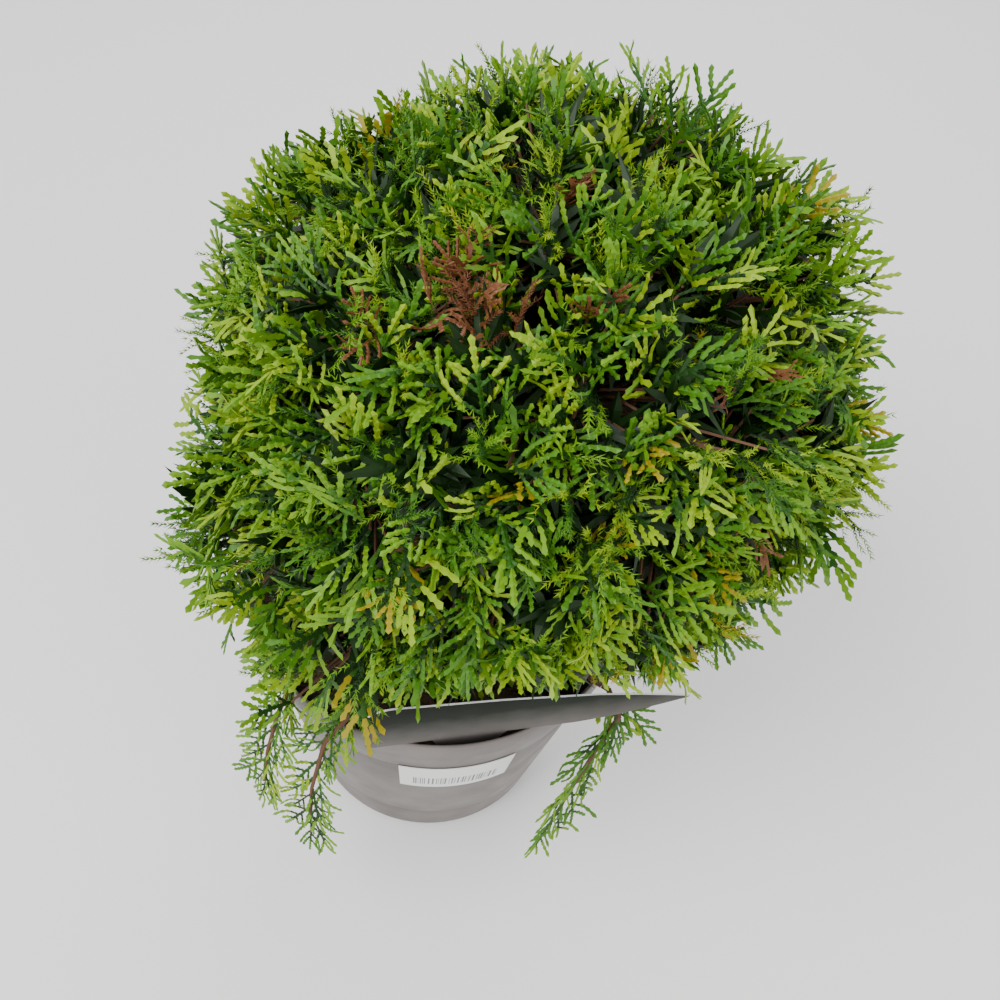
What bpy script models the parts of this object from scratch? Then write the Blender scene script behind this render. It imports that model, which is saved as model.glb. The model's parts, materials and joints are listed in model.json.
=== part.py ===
"""A young globe arborvitae in its nursery pot: trunk, boughs and masses of scaly
foliage, with the compost, the plant label and the price sticker.

Metres, +Z up, origin at the middle of the pot's flat underside. Azimuths are in
degrees, 0 towards the front (-Y) and 90 towards +X.
"""

import math

import bmesh
import bpy
import numpy as np
from mathutils import Matrix, Vector

SOLVER = "EXACT"
GAP = 0.0003                    # air between two pieces that touch

# Pot
POT_HEIGHT = 0.155
POT_RIM_RADIUS = 0.095
POT_WALL_TOP_RADIUS = 0.0925
POT_BASE_RADIUS = 0.0665
POT_BAND_HEIGHT = 0.0125        # the upright band under the lip
POT_WALL = 0.0016
POT_FLOOR = 0.0024
POT_STEPS = 40
DRAIN_HOLES = 6
DRAIN_RADIUS = 0.0055

# Compost
COMPOST_TOP = 0.1395
COMPOST_RINGS = 3
COMPOST_STEPS = 28
COMPOST_UNEVEN = 0.0012

# Plant label, standing on the rim
LABEL_AZIMUTH = 16.7            # where its face looks
LABEL_DISTANCE = 0.0898         # from the pot's axis to its lower edge
LABEL_LEAN = 10.0               # degrees outwards
LABEL_FOOT = POT_HEIGHT + 0.0006
LABEL_THICKNESS = 0.0008
LABEL_LEFT = -0.047
LABEL_HEAD_HEIGHT = 0.0505
LABEL_SHOULDER = (0.053, 0.0365)
LABEL_TIP = (0.099, 0.0180)
LABEL_CORNER = 0.011
LABEL_TAB_WIDTH = 0.034

# Price sticker on the wall
STICKER_AZIMUTHS = (-3.5, 33.5)
STICKER_LOW = 0.0870
STICKER_HIGH = 0.1195
STICKER_THICKNESS = 0.0004

# Trunk
TRUNK_BASE_RADIUS = 0.0078
TRUNK_FLARE = 0.0052            # what the root flare adds at the soil
TRUNK_FLARE_HEIGHT = 0.008
TRUNK_TIP_RADIUS = 0.0022
TRUNK_POINTS = 12

# Crown, a leaning globe
CROWN_CENTRE = Vector((0.030, 0.018, 0.273))
CROWN_AXES = Vector((0.146, 0.148, 0.120))
TRUNK_TOP = 0.40                # of the crown's reach, straight up
BOUGH_END = 0.45                # of the crown's reach, where a bough meets its mass
# Lobes and dips of the crown: azimuth, elevation, width in degrees, and share of the reach
CROWN_LOBES = {
    "back right top": (138, 46, 22, 0.06),
    "back top": (-172, 52, 20, 0.05),
    "right shoulder": (111, 36, 12, 0.10),
    "far right spray": (73, 8, 9, 0.09),
    "left shoulder": (-86, 16, 8, 0.07),
    "left notch": (-101, 28, 6, -0.12),
    "top left tuft": (-116, 36, 9, 0.06),
    "low left tuft": (-56, -9, 9, 0.12),
    "left side": (-70, 5, 11, -0.04),
    "right dip": (86, 19, 7, -0.06),
    "front right": (49, -9, 12, -0.06),
}
# Rings of masses round the crown: elevation, count, azimuth of the first
MASS_RINGS = {
    "upper": (50, 5, 18),
    "middle": (12, 8, 0),
    "lower": (-26, 8, 22),
}
# Where each ring's boughs leave the trunk: lowest and highest height
BOUGH_BANDS = {
    "upper": (0.252, 0.280),
    "middle": (0.212, 0.236),
    "lower": (0.168, 0.192),
}
BOUGH_BASE_RADIUS = 0.0024
BOUGH_TIP_RADIUS = 0.0016
BOUGH_POINTS = 6
BOUGH_ARCH = 0.006              # how far it bows upwards on its way
BOUGH_STRAIGHT = 0.39           # of the crown's reach, from where it runs straight out

# Foliage
SPRAY_TARGETS = 190             # sprays over the whole crown
SPRAY_LOWEST = -0.80            # sine of the lowest elevation that carries sprays
LEAVES_PER_SPRAY = 3
HANGING_SPRAYS = 8
LEAF_LENGTH = 0.046
HANGING_LEAF_LENGTH = 0.032
LEAF_HALF_WIDTH = 0.0064
LEAF_HALF_THICKNESS = 0.0024
LEAF_WIDEST = 0.58              # of its length
LEAF_SINK = 0.006               # how far its root runs into the twig
TWIG_BASE_RADIUS = 0.0017
TWIG_TIP_RADIUS = 0.0010
CORE_PLACE = 0.615              # of the crown's reach
CORE_RADIUS = 0.235             # of the crown's reach
CORE_ROUGHNESS = 0.30
TWIG_END = 0.72                 # of the crown's reach, where a spray's twig ends
SPACE_MARGIN = 0.005            # kept inside a mass's space, as a share of the reach
LIMB_CLEARANCE = 0.0010
CORE_CLEARANCE = 0.0030
POT_CLEARANCE = 0.0020

# Sprigs that hang over the rim: bough's path from the trunk, then the mass's own
# stem, each as (azimuth, distance from the axis, height)
HANGING_STRAIGHT = 0.0035        # how far its stem first runs on in the bough's direction
HANGING = {
    "left_front": (
        [(-17, 0.0, 0.150), (-17, 0.030, 0.160), (-17, 0.070, 0.1675), (-17, 0.090, 0.1660)],
        [(-21, 0.105, 0.152), (-21, 0.117, 0.128), (-20, 0.123, 0.108)],
    ),
    "left_side": (
        [(-44, 0.0, 0.158), (-42, 0.030, 0.169), (-39, 0.070, 0.1725), (-36, 0.092, 0.1680)],
        [(-34, 0.108, 0.156), (-33, 0.118, 0.136), (-32, 0.123, 0.118)],
    ),
    "right_low": (
        [(50, 0.0, 0.150), (52, 0.030, 0.157), (56, 0.075, 0.1605), (57.5, 0.099, 0.1590)],
        [(56, 0.113, 0.150), (50, 0.113, 0.136), (43, 0.116, 0.124)],
    ),
}


def from_azimuth(azimuth, distance, height):
    """The point at an azimuth round the pot's axis, a distance from it and a height."""
    turn = math.radians(azimuth)
    return Vector((math.sin(turn) * distance, -math.cos(turn) * distance, height))


def direction(azimuth, elevation):
    """The unit direction at an azimuth and an elevation."""
    rise = math.radians(elevation)
    return from_azimuth(azimuth, math.cos(rise), math.sin(rise))


def clear_scene():
    for old in list(bpy.data.objects):
        bpy.data.objects.remove(old, do_unlink=True)


def new_collection(name):
    found = bpy.data.collections.new(name)
    bpy.context.scene.collection.children.link(found)
    return found


def material(name, colour, roughness, metallic=0.0):
    """A Principled material of one plain finish."""
    made = bpy.data.materials.new(name)
    made.use_nodes = True
    shader = made.node_tree.nodes["Principled BSDF"]
    shader.inputs["Base Color"].default_value = (*colour, 1.0)
    shader.inputs["Roughness"].default_value = roughness
    shader.inputs["Metallic"].default_value = metallic
    made.diffuse_color = (*colour, 1.0)
    return made


def add_object(name, mesh, collection, finish):
    made = bpy.data.objects.new(name, mesh)
    collection.objects.link(made)
    if finish:
        mesh.materials.append(finish)
    return made


def add_bmesh(name, source, collection, finish):
    """A named object from a bmesh, which is freed."""
    mesh = bpy.data.meshes.new(name)
    source.to_mesh(mesh)
    source.free()
    return add_object(name, mesh, collection, finish)


def smooth(made, angle=40):
    made.data.shade_smooth()
    made.data.set_sharp_from_angle(angle=math.radians(angle))


def turned(name, profile, steps, collection, finish):
    """A solid turned round the Z axis from a profile of (radius, height) points."""
    mesh = bpy.data.meshes.new(name)
    points = [(radius, 0.0, height) for radius, height in profile]
    mesh.from_pydata(points, [(i, i + 1) for i in range(len(points) - 1)], [])
    made = add_object(name, mesh, collection, finish)
    screw = made.modifiers.new("Turn", "SCREW")
    screw.axis = "Z"
    screw.steps = steps
    screw.render_steps = steps
    screw.use_merge_vertices = True
    screw.merge_threshold = 0.0001
    screw.use_smooth_shade = True
    return made


def cut(made, cutter, name="Cut"):
    """Takes the cutter's volume out of an object."""
    cutter.hide_render = True
    cutter.display_type = "WIRE"
    boolean = made.modifiers.new(name, "BOOLEAN")
    boolean.operation = "DIFFERENCE"
    boolean.solver = "EXACT"
    boolean.object = cutter


def frozen(made):
    """The object with its modifiers, or its curve, made into its own plain mesh."""
    graph = bpy.context.evaluated_depsgraph_get()
    mesh = bpy.data.meshes.new_from_object(made.evaluated_get(graph), depsgraph=graph)
    mesh.transform(made.matrix_world)
    bm = bmesh.new()
    bm.from_mesh(mesh)
    bmesh.ops.remove_doubles(bm, verts=bm.verts, dist=0.00001)
    bmesh.ops.recalc_face_normals(bm, faces=bm.faces)
    bm.to_mesh(mesh)
    bm.free()
    name = made.name
    collection = made.users_collection[0]
    bpy.data.objects.remove(made, do_unlink=True)
    kept = bpy.data.objects.new(name, mesh)
    collection.objects.link(kept)
    return kept


def limb(name, points, radii, collection, finish, sides=6):
    """A tapering limb along points, as a plain closed mesh."""
    curve = bpy.data.curves.new(name, "CURVE")
    curve.dimensions = "3D"
    curve.bevel_depth = 1.0
    curve.bevel_resolution = sides // 2 - 2
    curve.use_fill_caps = True
    spline = curve.splines.new("POLY")
    spline.points.add(len(points) - 1)
    for knot, point, radius in zip(spline.points, points, radii):
        knot.co = (*point, 1.0)
        knot.radius = radius
    made = bpy.data.objects.new(name, curve)
    collection.objects.link(made)
    bpy.context.view_layer.update()
    kept = frozen(made)
    kept.data.materials.clear()
    if finish:
        kept.data.materials.append(finish)
    return kept


def bent(start, middle, end, count):
    """Points along the quadratic curve from start to end that leans towards middle."""
    steps = [i / (count - 1) for i in range(count)]
    return [(1 - t) ** 2 * start + 2 * t * (1 - t) * middle + t * t * end for t in steps]


def tapered(start, end, count):
    return [start + (end - start) * i / (count - 1) for i in range(count)]


# Pot, compost, label and sticker


def wall_radius(height):
    """The pot's outside radius below its band."""
    share = height / (POT_HEIGHT - POT_BAND_HEIGHT)
    return POT_BASE_RADIUS + (POT_WALL_TOP_RADIUS - POT_BASE_RADIUS) * share


def build_pot(collection, cutters, finish):
    band_foot = POT_HEIGHT - POT_BAND_HEIGHT
    foot_height = 0.0030
    foot_chamfer = 0.0012
    profile = [
        (0.0, POT_FLOOR),
        (wall_radius(POT_FLOOR) - POT_WALL, POT_FLOOR),
        (POT_WALL_TOP_RADIUS - POT_WALL, band_foot),
        (POT_RIM_RADIUS - POT_WALL - 0.0004, band_foot + 0.0010),
        (POT_RIM_RADIUS - POT_WALL, POT_HEIGHT),
        (POT_RIM_RADIUS, POT_HEIGHT),
        (POT_RIM_RADIUS - 0.0004, band_foot - 0.0006),
        (POT_WALL_TOP_RADIUS, band_foot - 0.0006),
        (wall_radius(foot_height), foot_height),
        (POT_BASE_RADIUS - foot_chamfer, 0.0),
        (0.0, 0.0),
    ]
    pot = turned("pot", profile, POT_STEPS, collection, finish)
    for number in range(DRAIN_HOLES):
        azimuth = (number + 0.5) * 360 / DRAIN_HOLES
        bm = bmesh.new()
        bmesh.ops.create_cone(
            bm, cap_ends=True, segments=10, radius1=DRAIN_RADIUS, radius2=DRAIN_RADIUS, depth=0.012
        )
        bm.transform(Matrix.Translation(from_azimuth(azimuth, POT_BASE_RADIUS * 0.80, 0.0)))
        cut(pot, add_bmesh(f"drain_cutter_{number}", bm, cutters, None), f"Drain {number}")
    return pot


def build_compost(collection, finish):
    """Compost filling the pot, its top slightly uneven and mounded to the trunk."""
    inner = POT_WALL + GAP
    top_radius = wall_radius(COMPOST_TOP) - inner
    bottom_radius = wall_radius(POT_FLOOR + GAP) - inner
    bm = bmesh.new()
    bmesh.ops.create_cone(
        bm,
        cap_ends=True,
        cap_tris=True,
        segments=COMPOST_STEPS,
        radius1=bottom_radius,
        radius2=top_radius,
        depth=COMPOST_TOP - POT_FLOOR - GAP,
    )
    bm.transform(Matrix.Translation((0, 0, (COMPOST_TOP + POT_FLOOR + GAP) / 2)))
    lid = [face for face in bm.faces if face.normal.z > 0.9]
    spokes = {edge for face in lid for edge in face.edges if not all(
        vert.co.xy.length > top_radius * 0.9 for vert in edge.verts)}
    bmesh.ops.subdivide_edges(bm, edges=list(spokes), cuts=COMPOST_RINGS, use_grid_fill=True)
    rng = np.random.default_rng(5)
    for vert in bm.verts:
        inside = TRUNK_BASE_RADIUS * 2.2 < vert.co.xy.length < top_radius * 0.95
        if inside and vert.co.z > COMPOST_TOP - 0.0001:
            vert.co.z -= COMPOST_UNEVEN * rng.random()
    bmesh.ops.triangulate(bm, faces=[face for face in bm.faces if face.normal.z > 0.5])
    return add_bmesh("compost", bm, collection, finish)


def label_frame():
    """The label's foot in the middle of its face, its run, its rise and its outward normal."""
    outward = from_azimuth(LABEL_AZIMUTH, 1.0, 0.0)
    run = from_azimuth(LABEL_AZIMUTH + 90, 1.0, 0.0)
    lean = math.radians(LABEL_LEAN)
    rise = Vector((0, 0, 1)) * math.cos(lean) + outward * math.sin(lean)
    normal = outward * math.cos(lean) - Vector((0, 0, 1)) * math.sin(lean)
    foot = outward * LABEL_DISTANCE + Vector((0, 0, LABEL_FOOT))
    return foot, run, rise, normal


def label_outline():
    """The label's outline as (run, rise) points: a square head, then a long taper to a point."""
    corner = LABEL_CORNER
    low = LABEL_CORNER * 0.35
    points = [(LABEL_LEFT, low), (LABEL_LEFT + low * 0.3, low * 0.3), (LABEL_LEFT + low, 0.0)]
    tab_left = -LABEL_TAB_WIDTH / 2
    tab_drop = (LABEL_FOOT - COMPOST_TOP - GAP - 0.0004) / math.cos(math.radians(LABEL_LEAN))
    taper = 0.7
    points += [(tab_left, 0.0), (tab_left * taper, -tab_drop)]
    points += [(-tab_left * taper, -tab_drop), (-tab_left, 0.0)]
    points += [(0.050, 0.0), (0.066, 0.0030), (0.080, 0.0085), (0.090, 0.0130)]
    points += [(LABEL_TIP[0] - 0.001, LABEL_TIP[1] - 0.0010), (LABEL_TIP[0], LABEL_TIP[1] + 0.0004)]
    points += [(0.088, 0.0235), (0.072, 0.0300), LABEL_SHOULDER, (0.010, 0.0450)]
    top_left = Vector((LABEL_LEFT + corner, LABEL_HEAD_HEIGHT - corner))
    for step in range(5):
        turn = math.radians(90 + 22.5 * step)
        points.append((top_left.x + corner * math.cos(turn), top_left.y + corner * math.sin(turn)))
    return points


def build_label(collection, finish):
    foot, run, rise, normal = label_frame()
    curve = bpy.data.curves.new("label_outline", "CURVE")
    curve.dimensions = "2D"
    curve.fill_mode = "BOTH"
    curve.extrude = LABEL_THICKNESS / 2
    spline = curve.splines.new("POLY")
    outline = label_outline()
    spline.points.add(len(outline) - 1)
    for knot, (along, up) in zip(spline.points, outline):
        knot.co = (along, up, 0.0, 1.0)
    spline.use_cyclic_u = True
    flat = bpy.data.objects.new("plant_label", curve)
    collection.objects.link(flat)
    flat.matrix_world = Matrix.Translation(foot) @ Matrix(
        ((run.x, rise.x, normal.x), (run.y, rise.y, normal.y), (run.z, rise.z, normal.z))
    ).to_4x4()
    bpy.context.view_layer.update()
    label = frozen(flat)
    label.data.materials.clear()
    label.data.materials.append(finish)
    return label


def build_sticker(collection, finish):
    """A thin label wrapped on the pot's sloping wall."""
    columns = 12
    bm = bmesh.new()
    bmesh.ops.create_grid(bm, x_segments=columns, y_segments=1, size=0.5)
    first, last = STICKER_AZIMUTHS
    for vert in bm.verts:
        height = STICKER_LOW + (vert.co.y + 0.5) * (STICKER_HIGH - STICKER_LOW)
        azimuth = first + (vert.co.x + 0.5) * (last - first)
        vert.co = from_azimuth(azimuth, wall_radius(height) + GAP, height)
    sticker = add_bmesh("price_sticker", bm, collection, finish)
    solid = sticker.modifiers.new("Paper", "SOLIDIFY")
    solid.thickness = STICKER_THICKNESS
    solid.offset = 1.0
    return sticker


# Crown: where it reaches, and each mass's own space


def crown_reach(unit):
    """How far the crown goes in a unit direction of its own space, as a share of its axes."""
    reach = 1.0
    for azimuth, elevation, width, gain in CROWN_LOBES.values():
        off = math.degrees(unit.angle(direction(azimuth, elevation)))
        reach += gain * math.exp(-((off / width) ** 2))
    return reach


def in_crown(unit, share):
    """The point in the crown in a unit direction, at a share of the plain globe's reach."""
    return CROWN_CENTRE + Vector((unit.x * CROWN_AXES.x, unit.y * CROWN_AXES.y, unit.z * CROWN_AXES.z)) * share


def crown_share(point):
    """A point in the crown's own space, where the plain globe has radius 1."""
    off = point - CROWN_CENTRE
    return Vector((off.x / CROWN_AXES.x, off.y / CROWN_AXES.y, off.z / CROWN_AXES.z))


def mass_directions():
    """Each crown mass's name, with the direction in which it lies."""
    found = {"top": Vector((0, 0, 1))}
    for ring, (elevation, count, first) in MASS_RINGS.items():
        for number in range(count):
            found[f"{ring}_{number + 1}"] = direction(first + number * 360 / count, elevation)
    return found


def sphere_points(count):
    """Directions spread evenly over a sphere along a spiral."""
    golden = math.pi * (3 - math.sqrt(5))
    for number in range(count):
        height = 1 - 2 * (number + 0.5) / count
        flat = math.sqrt(1 - height * height)
        yield Vector((flat * math.cos(golden * number), flat * math.sin(golden * number), height))


def trunk_point(height):
    """The trunk's axis at a height: upright at the soil, then leaning to the crown's middle."""
    top = in_crown(Vector((0, 0, 1)), TRUNK_TOP)
    rise = (height - COMPOST_TOP) / (top.z - COMPOST_TOP)
    sway = rise * rise * (3 - 2 * rise)
    wander = 0.0025 * math.sin(rise * 9)
    return Vector((top.x * sway + wander * rise, top.y * sway - wander * rise, height))


def trunk_radius(height):
    top = in_crown(Vector((0, 0, 1)), TRUNK_TOP).z
    rise = (height - COMPOST_TOP) / (top - COMPOST_TOP)
    flare = TRUNK_FLARE * math.exp(-(height - COMPOST_TOP) / TRUNK_FLARE_HEIGHT)
    return TRUNK_BASE_RADIUS + (TRUNK_TIP_RADIUS - TRUNK_BASE_RADIUS) * rise ** 0.8 + flare


def trunk_line():
    low = COMPOST_TOP + GAP
    high = in_crown(Vector((0, 0, 1)), TRUNK_TOP).z
    shares = [0.0, 0.02] + [0.02 + 0.98 * (i + 1) / (TRUNK_POINTS - 2) for i in range(TRUNK_POINTS - 2)]
    heights = [low + (high - low) * share for share in shares]
    points = [trunk_point(height) for height in heights]
    points[0].xy = points[1].xy = (0.0, 0.0)
    return points, [trunk_radius(height) for height in heights]


def bough_lines(directions):
    """Each bough's points and radii, from inside the trunk to the end of its mass's stem."""
    lines = {}
    for ring, (low, high) in BOUGH_BANDS.items():
        count = MASS_RINGS[ring][1]
        for number in range(count):
            name = f"{ring}_{number + 1}"
            stagger = (number % 2) * 0.8 + 0.2 * number / count
            start = trunk_point(low + (high - low) * stagger)
            turned_out = in_crown(directions[name], BOUGH_STRAIGHT)
            end = in_crown(directions[name], BOUGH_END)
            middle = start.lerp(turned_out, 0.6) + Vector((0, 0, BOUGH_ARCH))
            points = bent(start, middle, turned_out, BOUGH_POINTS - 1) + [end]
            lines[name] = (points, tapered(BOUGH_BASE_RADIUS, BOUGH_TIP_RADIUS, BOUGH_POINTS))
    for name, (path, _) in HANGING.items():
        points = [trunk_point(path[0][2])] + [from_azimuth(*place) for place in path[1:]]
        lines[name] = (points, tapered(BOUGH_BASE_RADIUS * 0.8, BOUGH_TIP_RADIUS, len(points)))
    return lines


def hanging_stem(path, stem):
    """A hanging mass's stem, which leaves its bough's tip straight on and a gap clear."""
    before, tip = (from_azimuth(*place) for place in path[-2:])
    onward = (tip - before).normalized()
    start = [tip + onward * GAP, tip + onward * HANGING_STRAIGHT]
    return start + [from_azimuth(*place) for place in stem]


# Clearances


def segment_distance(point, start, end):
    """The distance from a point to a segment, and how far along it the nearest point lies."""
    along = end - start
    share = min(max((point - start).dot(along) / max(along.length_squared, 1e-12), 0.0), 1.0)
    return (start + along * share - point).length, share


class Clearances:
    """What a twig or a leaf has to stay clear of."""

    def __init__(self, limbs):
        self.limbs = limbs
        self.foot, self.run, self.rise, self.normal = label_frame()

    def free(self, point, thickness, own=None):
        """Whether a ball of this radius at the point touches no limb, pot or label."""
        for name, (points, radii) in self.limbs.items():
            if name == own:
                continue
            for index in range(len(points) - 1):
                far, share = segment_distance(point, points[index], points[index + 1])
                here = radii[index] + (radii[index + 1] - radii[index]) * share
                if far < here + thickness + LIMB_CLEARANCE:
                    return False
        return self.off_pot(point, thickness) and self.off_label(point, thickness)

    def off_pot(self, point, thickness):
        reach = thickness + POT_CLEARANCE
        out = point.xy.length
        if point.z > POT_HEIGHT + reach:
            return True
        if point.z > POT_HEIGHT - POT_BAND_HEIGHT - reach:
            return out > POT_RIM_RADIUS + reach
        return out > wall_radius(max(point.z, 0.0)) + reach

    def off_label(self, point, thickness):
        reach = thickness + POT_CLEARANCE
        off = point - self.foot
        along = off.dot(self.run)
        up = off.dot(self.rise)
        if abs(off.dot(self.normal)) > reach + LABEL_THICKNESS / 2:
            return True
        if along < LABEL_LEFT - reach or along > LABEL_TIP[0] + reach:
            return True
        share = (along - LABEL_SHOULDER[0]) / (LABEL_TIP[0] - LABEL_SHOULDER[0])
        share = min(max(share, 0.0), 1.0)
        low = LABEL_TIP[1] * share ** 1.4
        high = LABEL_HEAD_HEIGHT + (LABEL_TIP[1] - LABEL_HEAD_HEIGHT) * share
        return up < low - reach or up > high + reach


class CrownSpace:
    """A crown mass's space: nearer its own direction than its neighbours', and in reach."""

    def __init__(self, name, directions):
        own = directions[name]
        self.own = own
        self.walls = [(own - other).normalized() for key, other in directions.items() if key != name]

    def holds(self, point, thickness):
        place = crown_share(point)
        margin = SPACE_MARGIN + thickness / CROWN_AXES.z
        if place.length < BOUGH_END + margin:
            return False
        if any(place.dot(wall) < margin for wall in self.walls):
            return False
        return place.length < crown_reach(place.normalized()) + 0.01


class HangingSpace:
    """A hanging mass's space: outside the crown, on its own side of its neighbours."""

    def __init__(self, name):
        self.name = name
        self.stems = {key: hanging_stem(*places) for key, places in HANGING.items()}
        self.reach = 0.034

    def nearest(self, point, key):
        stem = self.stems[key]
        return min(segment_distance(point, a, b)[0] for a, b in zip(stem, stem[1:]))

    def holds(self, point, thickness):
        place = crown_share(point)
        if place.length < crown_reach(place.normalized()) + 0.03 + thickness / CROWN_AXES.z:
            return False
        own = self.nearest(point, self.name)
        others = [self.nearest(point, key) for key in self.stems if key != self.name]
        return own < self.reach and own + 2 * thickness + 0.001 < min(others)


# Foliage


def along(start, end, base, tip):
    """The matrix that lays a shape of unit length on +Z from start to end."""
    turn = (end - start).to_track_quat("Z", "Y").to_matrix().to_4x4()
    return Matrix.Translation(start) @ turn


def add_twig(pieces, start, end, base, tip, sides=3):
    bm = bmesh.new()
    length = (end - start).length
    bmesh.ops.create_cone(bm, cap_ends=True, segments=sides, radius1=base, radius2=tip, depth=length)
    bm.transform(along(start, end, base, tip) @ Matrix.Translation((0, 0, length / 2)))
    pieces.append(bm)


def add_leaf(pieces, start, end, flat, half_width, half_thickness):
    """A leaf of eight faces from its root to its tip, its broad side across flat."""
    bm = bmesh.new()
    bmesh.ops.create_uvsphere(bm, u_segments=4, v_segments=2, radius=1.0)
    axis = (end - start).normalized()
    side = (flat - axis * flat.dot(axis)).normalized()
    out = axis.cross(side)
    length = (end - start).length
    for vert in bm.verts:
        across, through, place = vert.co
        share = LEAF_WIDEST if abs(place) < 0.5 else (1.0 if place > 0 else 0.0)
        vert.co = start + axis * length * share + side * half_width * across + out * half_thickness * through
    bmesh.ops.recalc_face_normals(bm, faces=bm.faces)
    pieces.append(bm)


def add_core(pieces, centre, space, clear, rng):
    """The dense middle of a mass, drawn in wherever it would leave its space."""
    bm = bmesh.new()
    bmesh.ops.create_icosphere(bm, subdivisions=2, radius=1.0)
    for vert in bm.verts:
        bump = 1.0 + CORE_ROUGHNESS * (rng.random() - 0.5)
        off = Vector((
            vert.co.x * CROWN_AXES.x,
            vert.co.y * CROWN_AXES.y,
            vert.co.z * CROWN_AXES.z,
        )) * CORE_RADIUS * bump
        while off.length > 0.004:
            if space.holds(centre + off, 0.001) and clear.free(centre + off, CORE_CLEARANCE):
                break
            off *= 0.93
        vert.co = centre + off
    pieces.append(bm)


def samples(start, end, count=7):
    return [start.lerp(end, i / (count - 1)) for i in range(count)]


def fits(start, end, thickness, space, clear, skip=0):
    """Whether a straight piece stays in its space and off every limb."""
    return all(
        space.holds(point, thickness) and clear.free(point, thickness)
        for point in samples(start, end)[skip:]
    )


def side_vector(axis, rng):
    """A seeded direction square to the axis, mostly level, as the sprays lie."""
    level = axis.cross(Vector((0, 0, 1)))
    if level.length < 0.1:
        level = Vector((1, 0, 0))
    level.normalize()
    return Matrix.Rotation(rng.normal(0.0, 0.5), 3, axis) @ level


def grow_spray(pieces, start, end, space, clear, rng, full=LEAF_LENGTH):
    """A twig with a fan of leaves: one at its end and others to each side."""
    if not fits(start, end, TWIG_BASE_RADIUS, space, clear, skip=1):
        return 0
    made = []
    axis = (end - start).normalized()
    side = side_vector(axis, rng)
    for number in range(LEAVES_PER_SPRAY):
        lean = (0.0, 0.62, -0.62, 0.9, -0.9)[number] + rng.normal(0.0, 0.08)
        place = (1.0, 0.80, 0.62, 0.45, 0.35)[number]
        heading = (axis * math.cos(lean) + side * math.sin(lean)).normalized()
        root = start.lerp(end, place) - heading * LEAF_SINK
        for length in (full, full * 0.8, full * 0.6):
            tip = root + heading * length * (0.9 + 0.2 * rng.random())
            if fits(root, tip, LEAF_HALF_WIDTH * 0.7, space, clear, skip=2):
                made.append((root, tip))
                break
    if not made:
        return 0
    add_twig(pieces, start, end, TWIG_BASE_RADIUS, TWIG_TIP_RADIUS)
    for root, tip in made:
        share = (tip - root).length / full
        add_leaf(pieces, root, tip, side, LEAF_HALF_WIDTH * max(share, 0.8), LEAF_HALF_THICKNESS)
    return len(made)


def fused(name, pieces, collection, finish):
    """One body from overlapping pieces, by a single union on a collection."""
    bin_name = f"{name}_pieces"
    heap = bpy.data.collections.new(bin_name)
    bpy.context.scene.collection.children.link(heap)
    base = add_bmesh(name, pieces[0], collection, finish)
    for number, piece in enumerate(pieces[1:]):
        add_bmesh(f"{bin_name}_{number}", piece, heap, None)
    join = base.modifiers.new("Join", "BOOLEAN")
    join.operation = "UNION"
    join.solver = SOLVER
    join.operand_type = "COLLECTION"
    join.collection = heap
    bpy.context.view_layer.update()
    graph = bpy.context.evaluated_depsgraph_get()
    mesh = bpy.data.meshes.new_from_object(base.evaluated_get(graph), depsgraph=graph)
    base.modifiers.clear()
    base.data = mesh
    for old in list(heap.objects):
        bpy.data.objects.remove(old, do_unlink=True)
    bpy.data.collections.remove(heap)
    keep_largest(base)
    mesh.materials.clear()
    mesh.materials.append(finish)
    return base


def keep_largest(made):
    """Drops the loose scraps of a joined mass and leaves its one body."""
    bm = bmesh.new()
    bm.from_mesh(made.data)
    left = set(bm.verts)
    groups = []
    while left:
        seed = left.pop()
        group = {seed}
        edge = [seed]
        while edge:
            vert = edge.pop()
            for link in vert.link_edges:
                other = link.other_vert(vert)
                if other in left:
                    left.discard(other)
                    group.add(other)
                    edge.append(other)
        groups.append(group)
    groups.sort(key=len, reverse=True)
    bmesh.ops.delete(bm, geom=[vert for group in groups[1:] for vert in group], context="VERTS")
    bm.to_mesh(made.data)
    bm.free()


def build_crown_mass(name, directions, targets, clear, collection, finish):
    space = CrownSpace(name, directions)
    rng = np.random.default_rng(100 + list(directions).index(name))
    own = directions[name]
    pieces = []
    centre = in_crown(own, CORE_PLACE)
    add_core(pieces, centre, space, clear, rng)
    stem_start = in_crown(own, BOUGH_END if name != "top" else TRUNK_TOP)
    stem_start += (centre - stem_start).normalized() * GAP
    add_twig(pieces, stem_start, centre, BOUGH_TIP_RADIUS, BOUGH_TIP_RADIUS, sides=5)
    leaves = 0
    for unit in targets:
        reach = crown_reach(unit)
        heading = in_crown(unit, reach * TWIG_END)
        start = centre.lerp(heading, 0.25)
        leaves += grow_spray(pieces, start, heading, space, clear, rng)
    made = fused(f"foliage_{name}", pieces, collection, finish)
    return made, leaves


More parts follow.
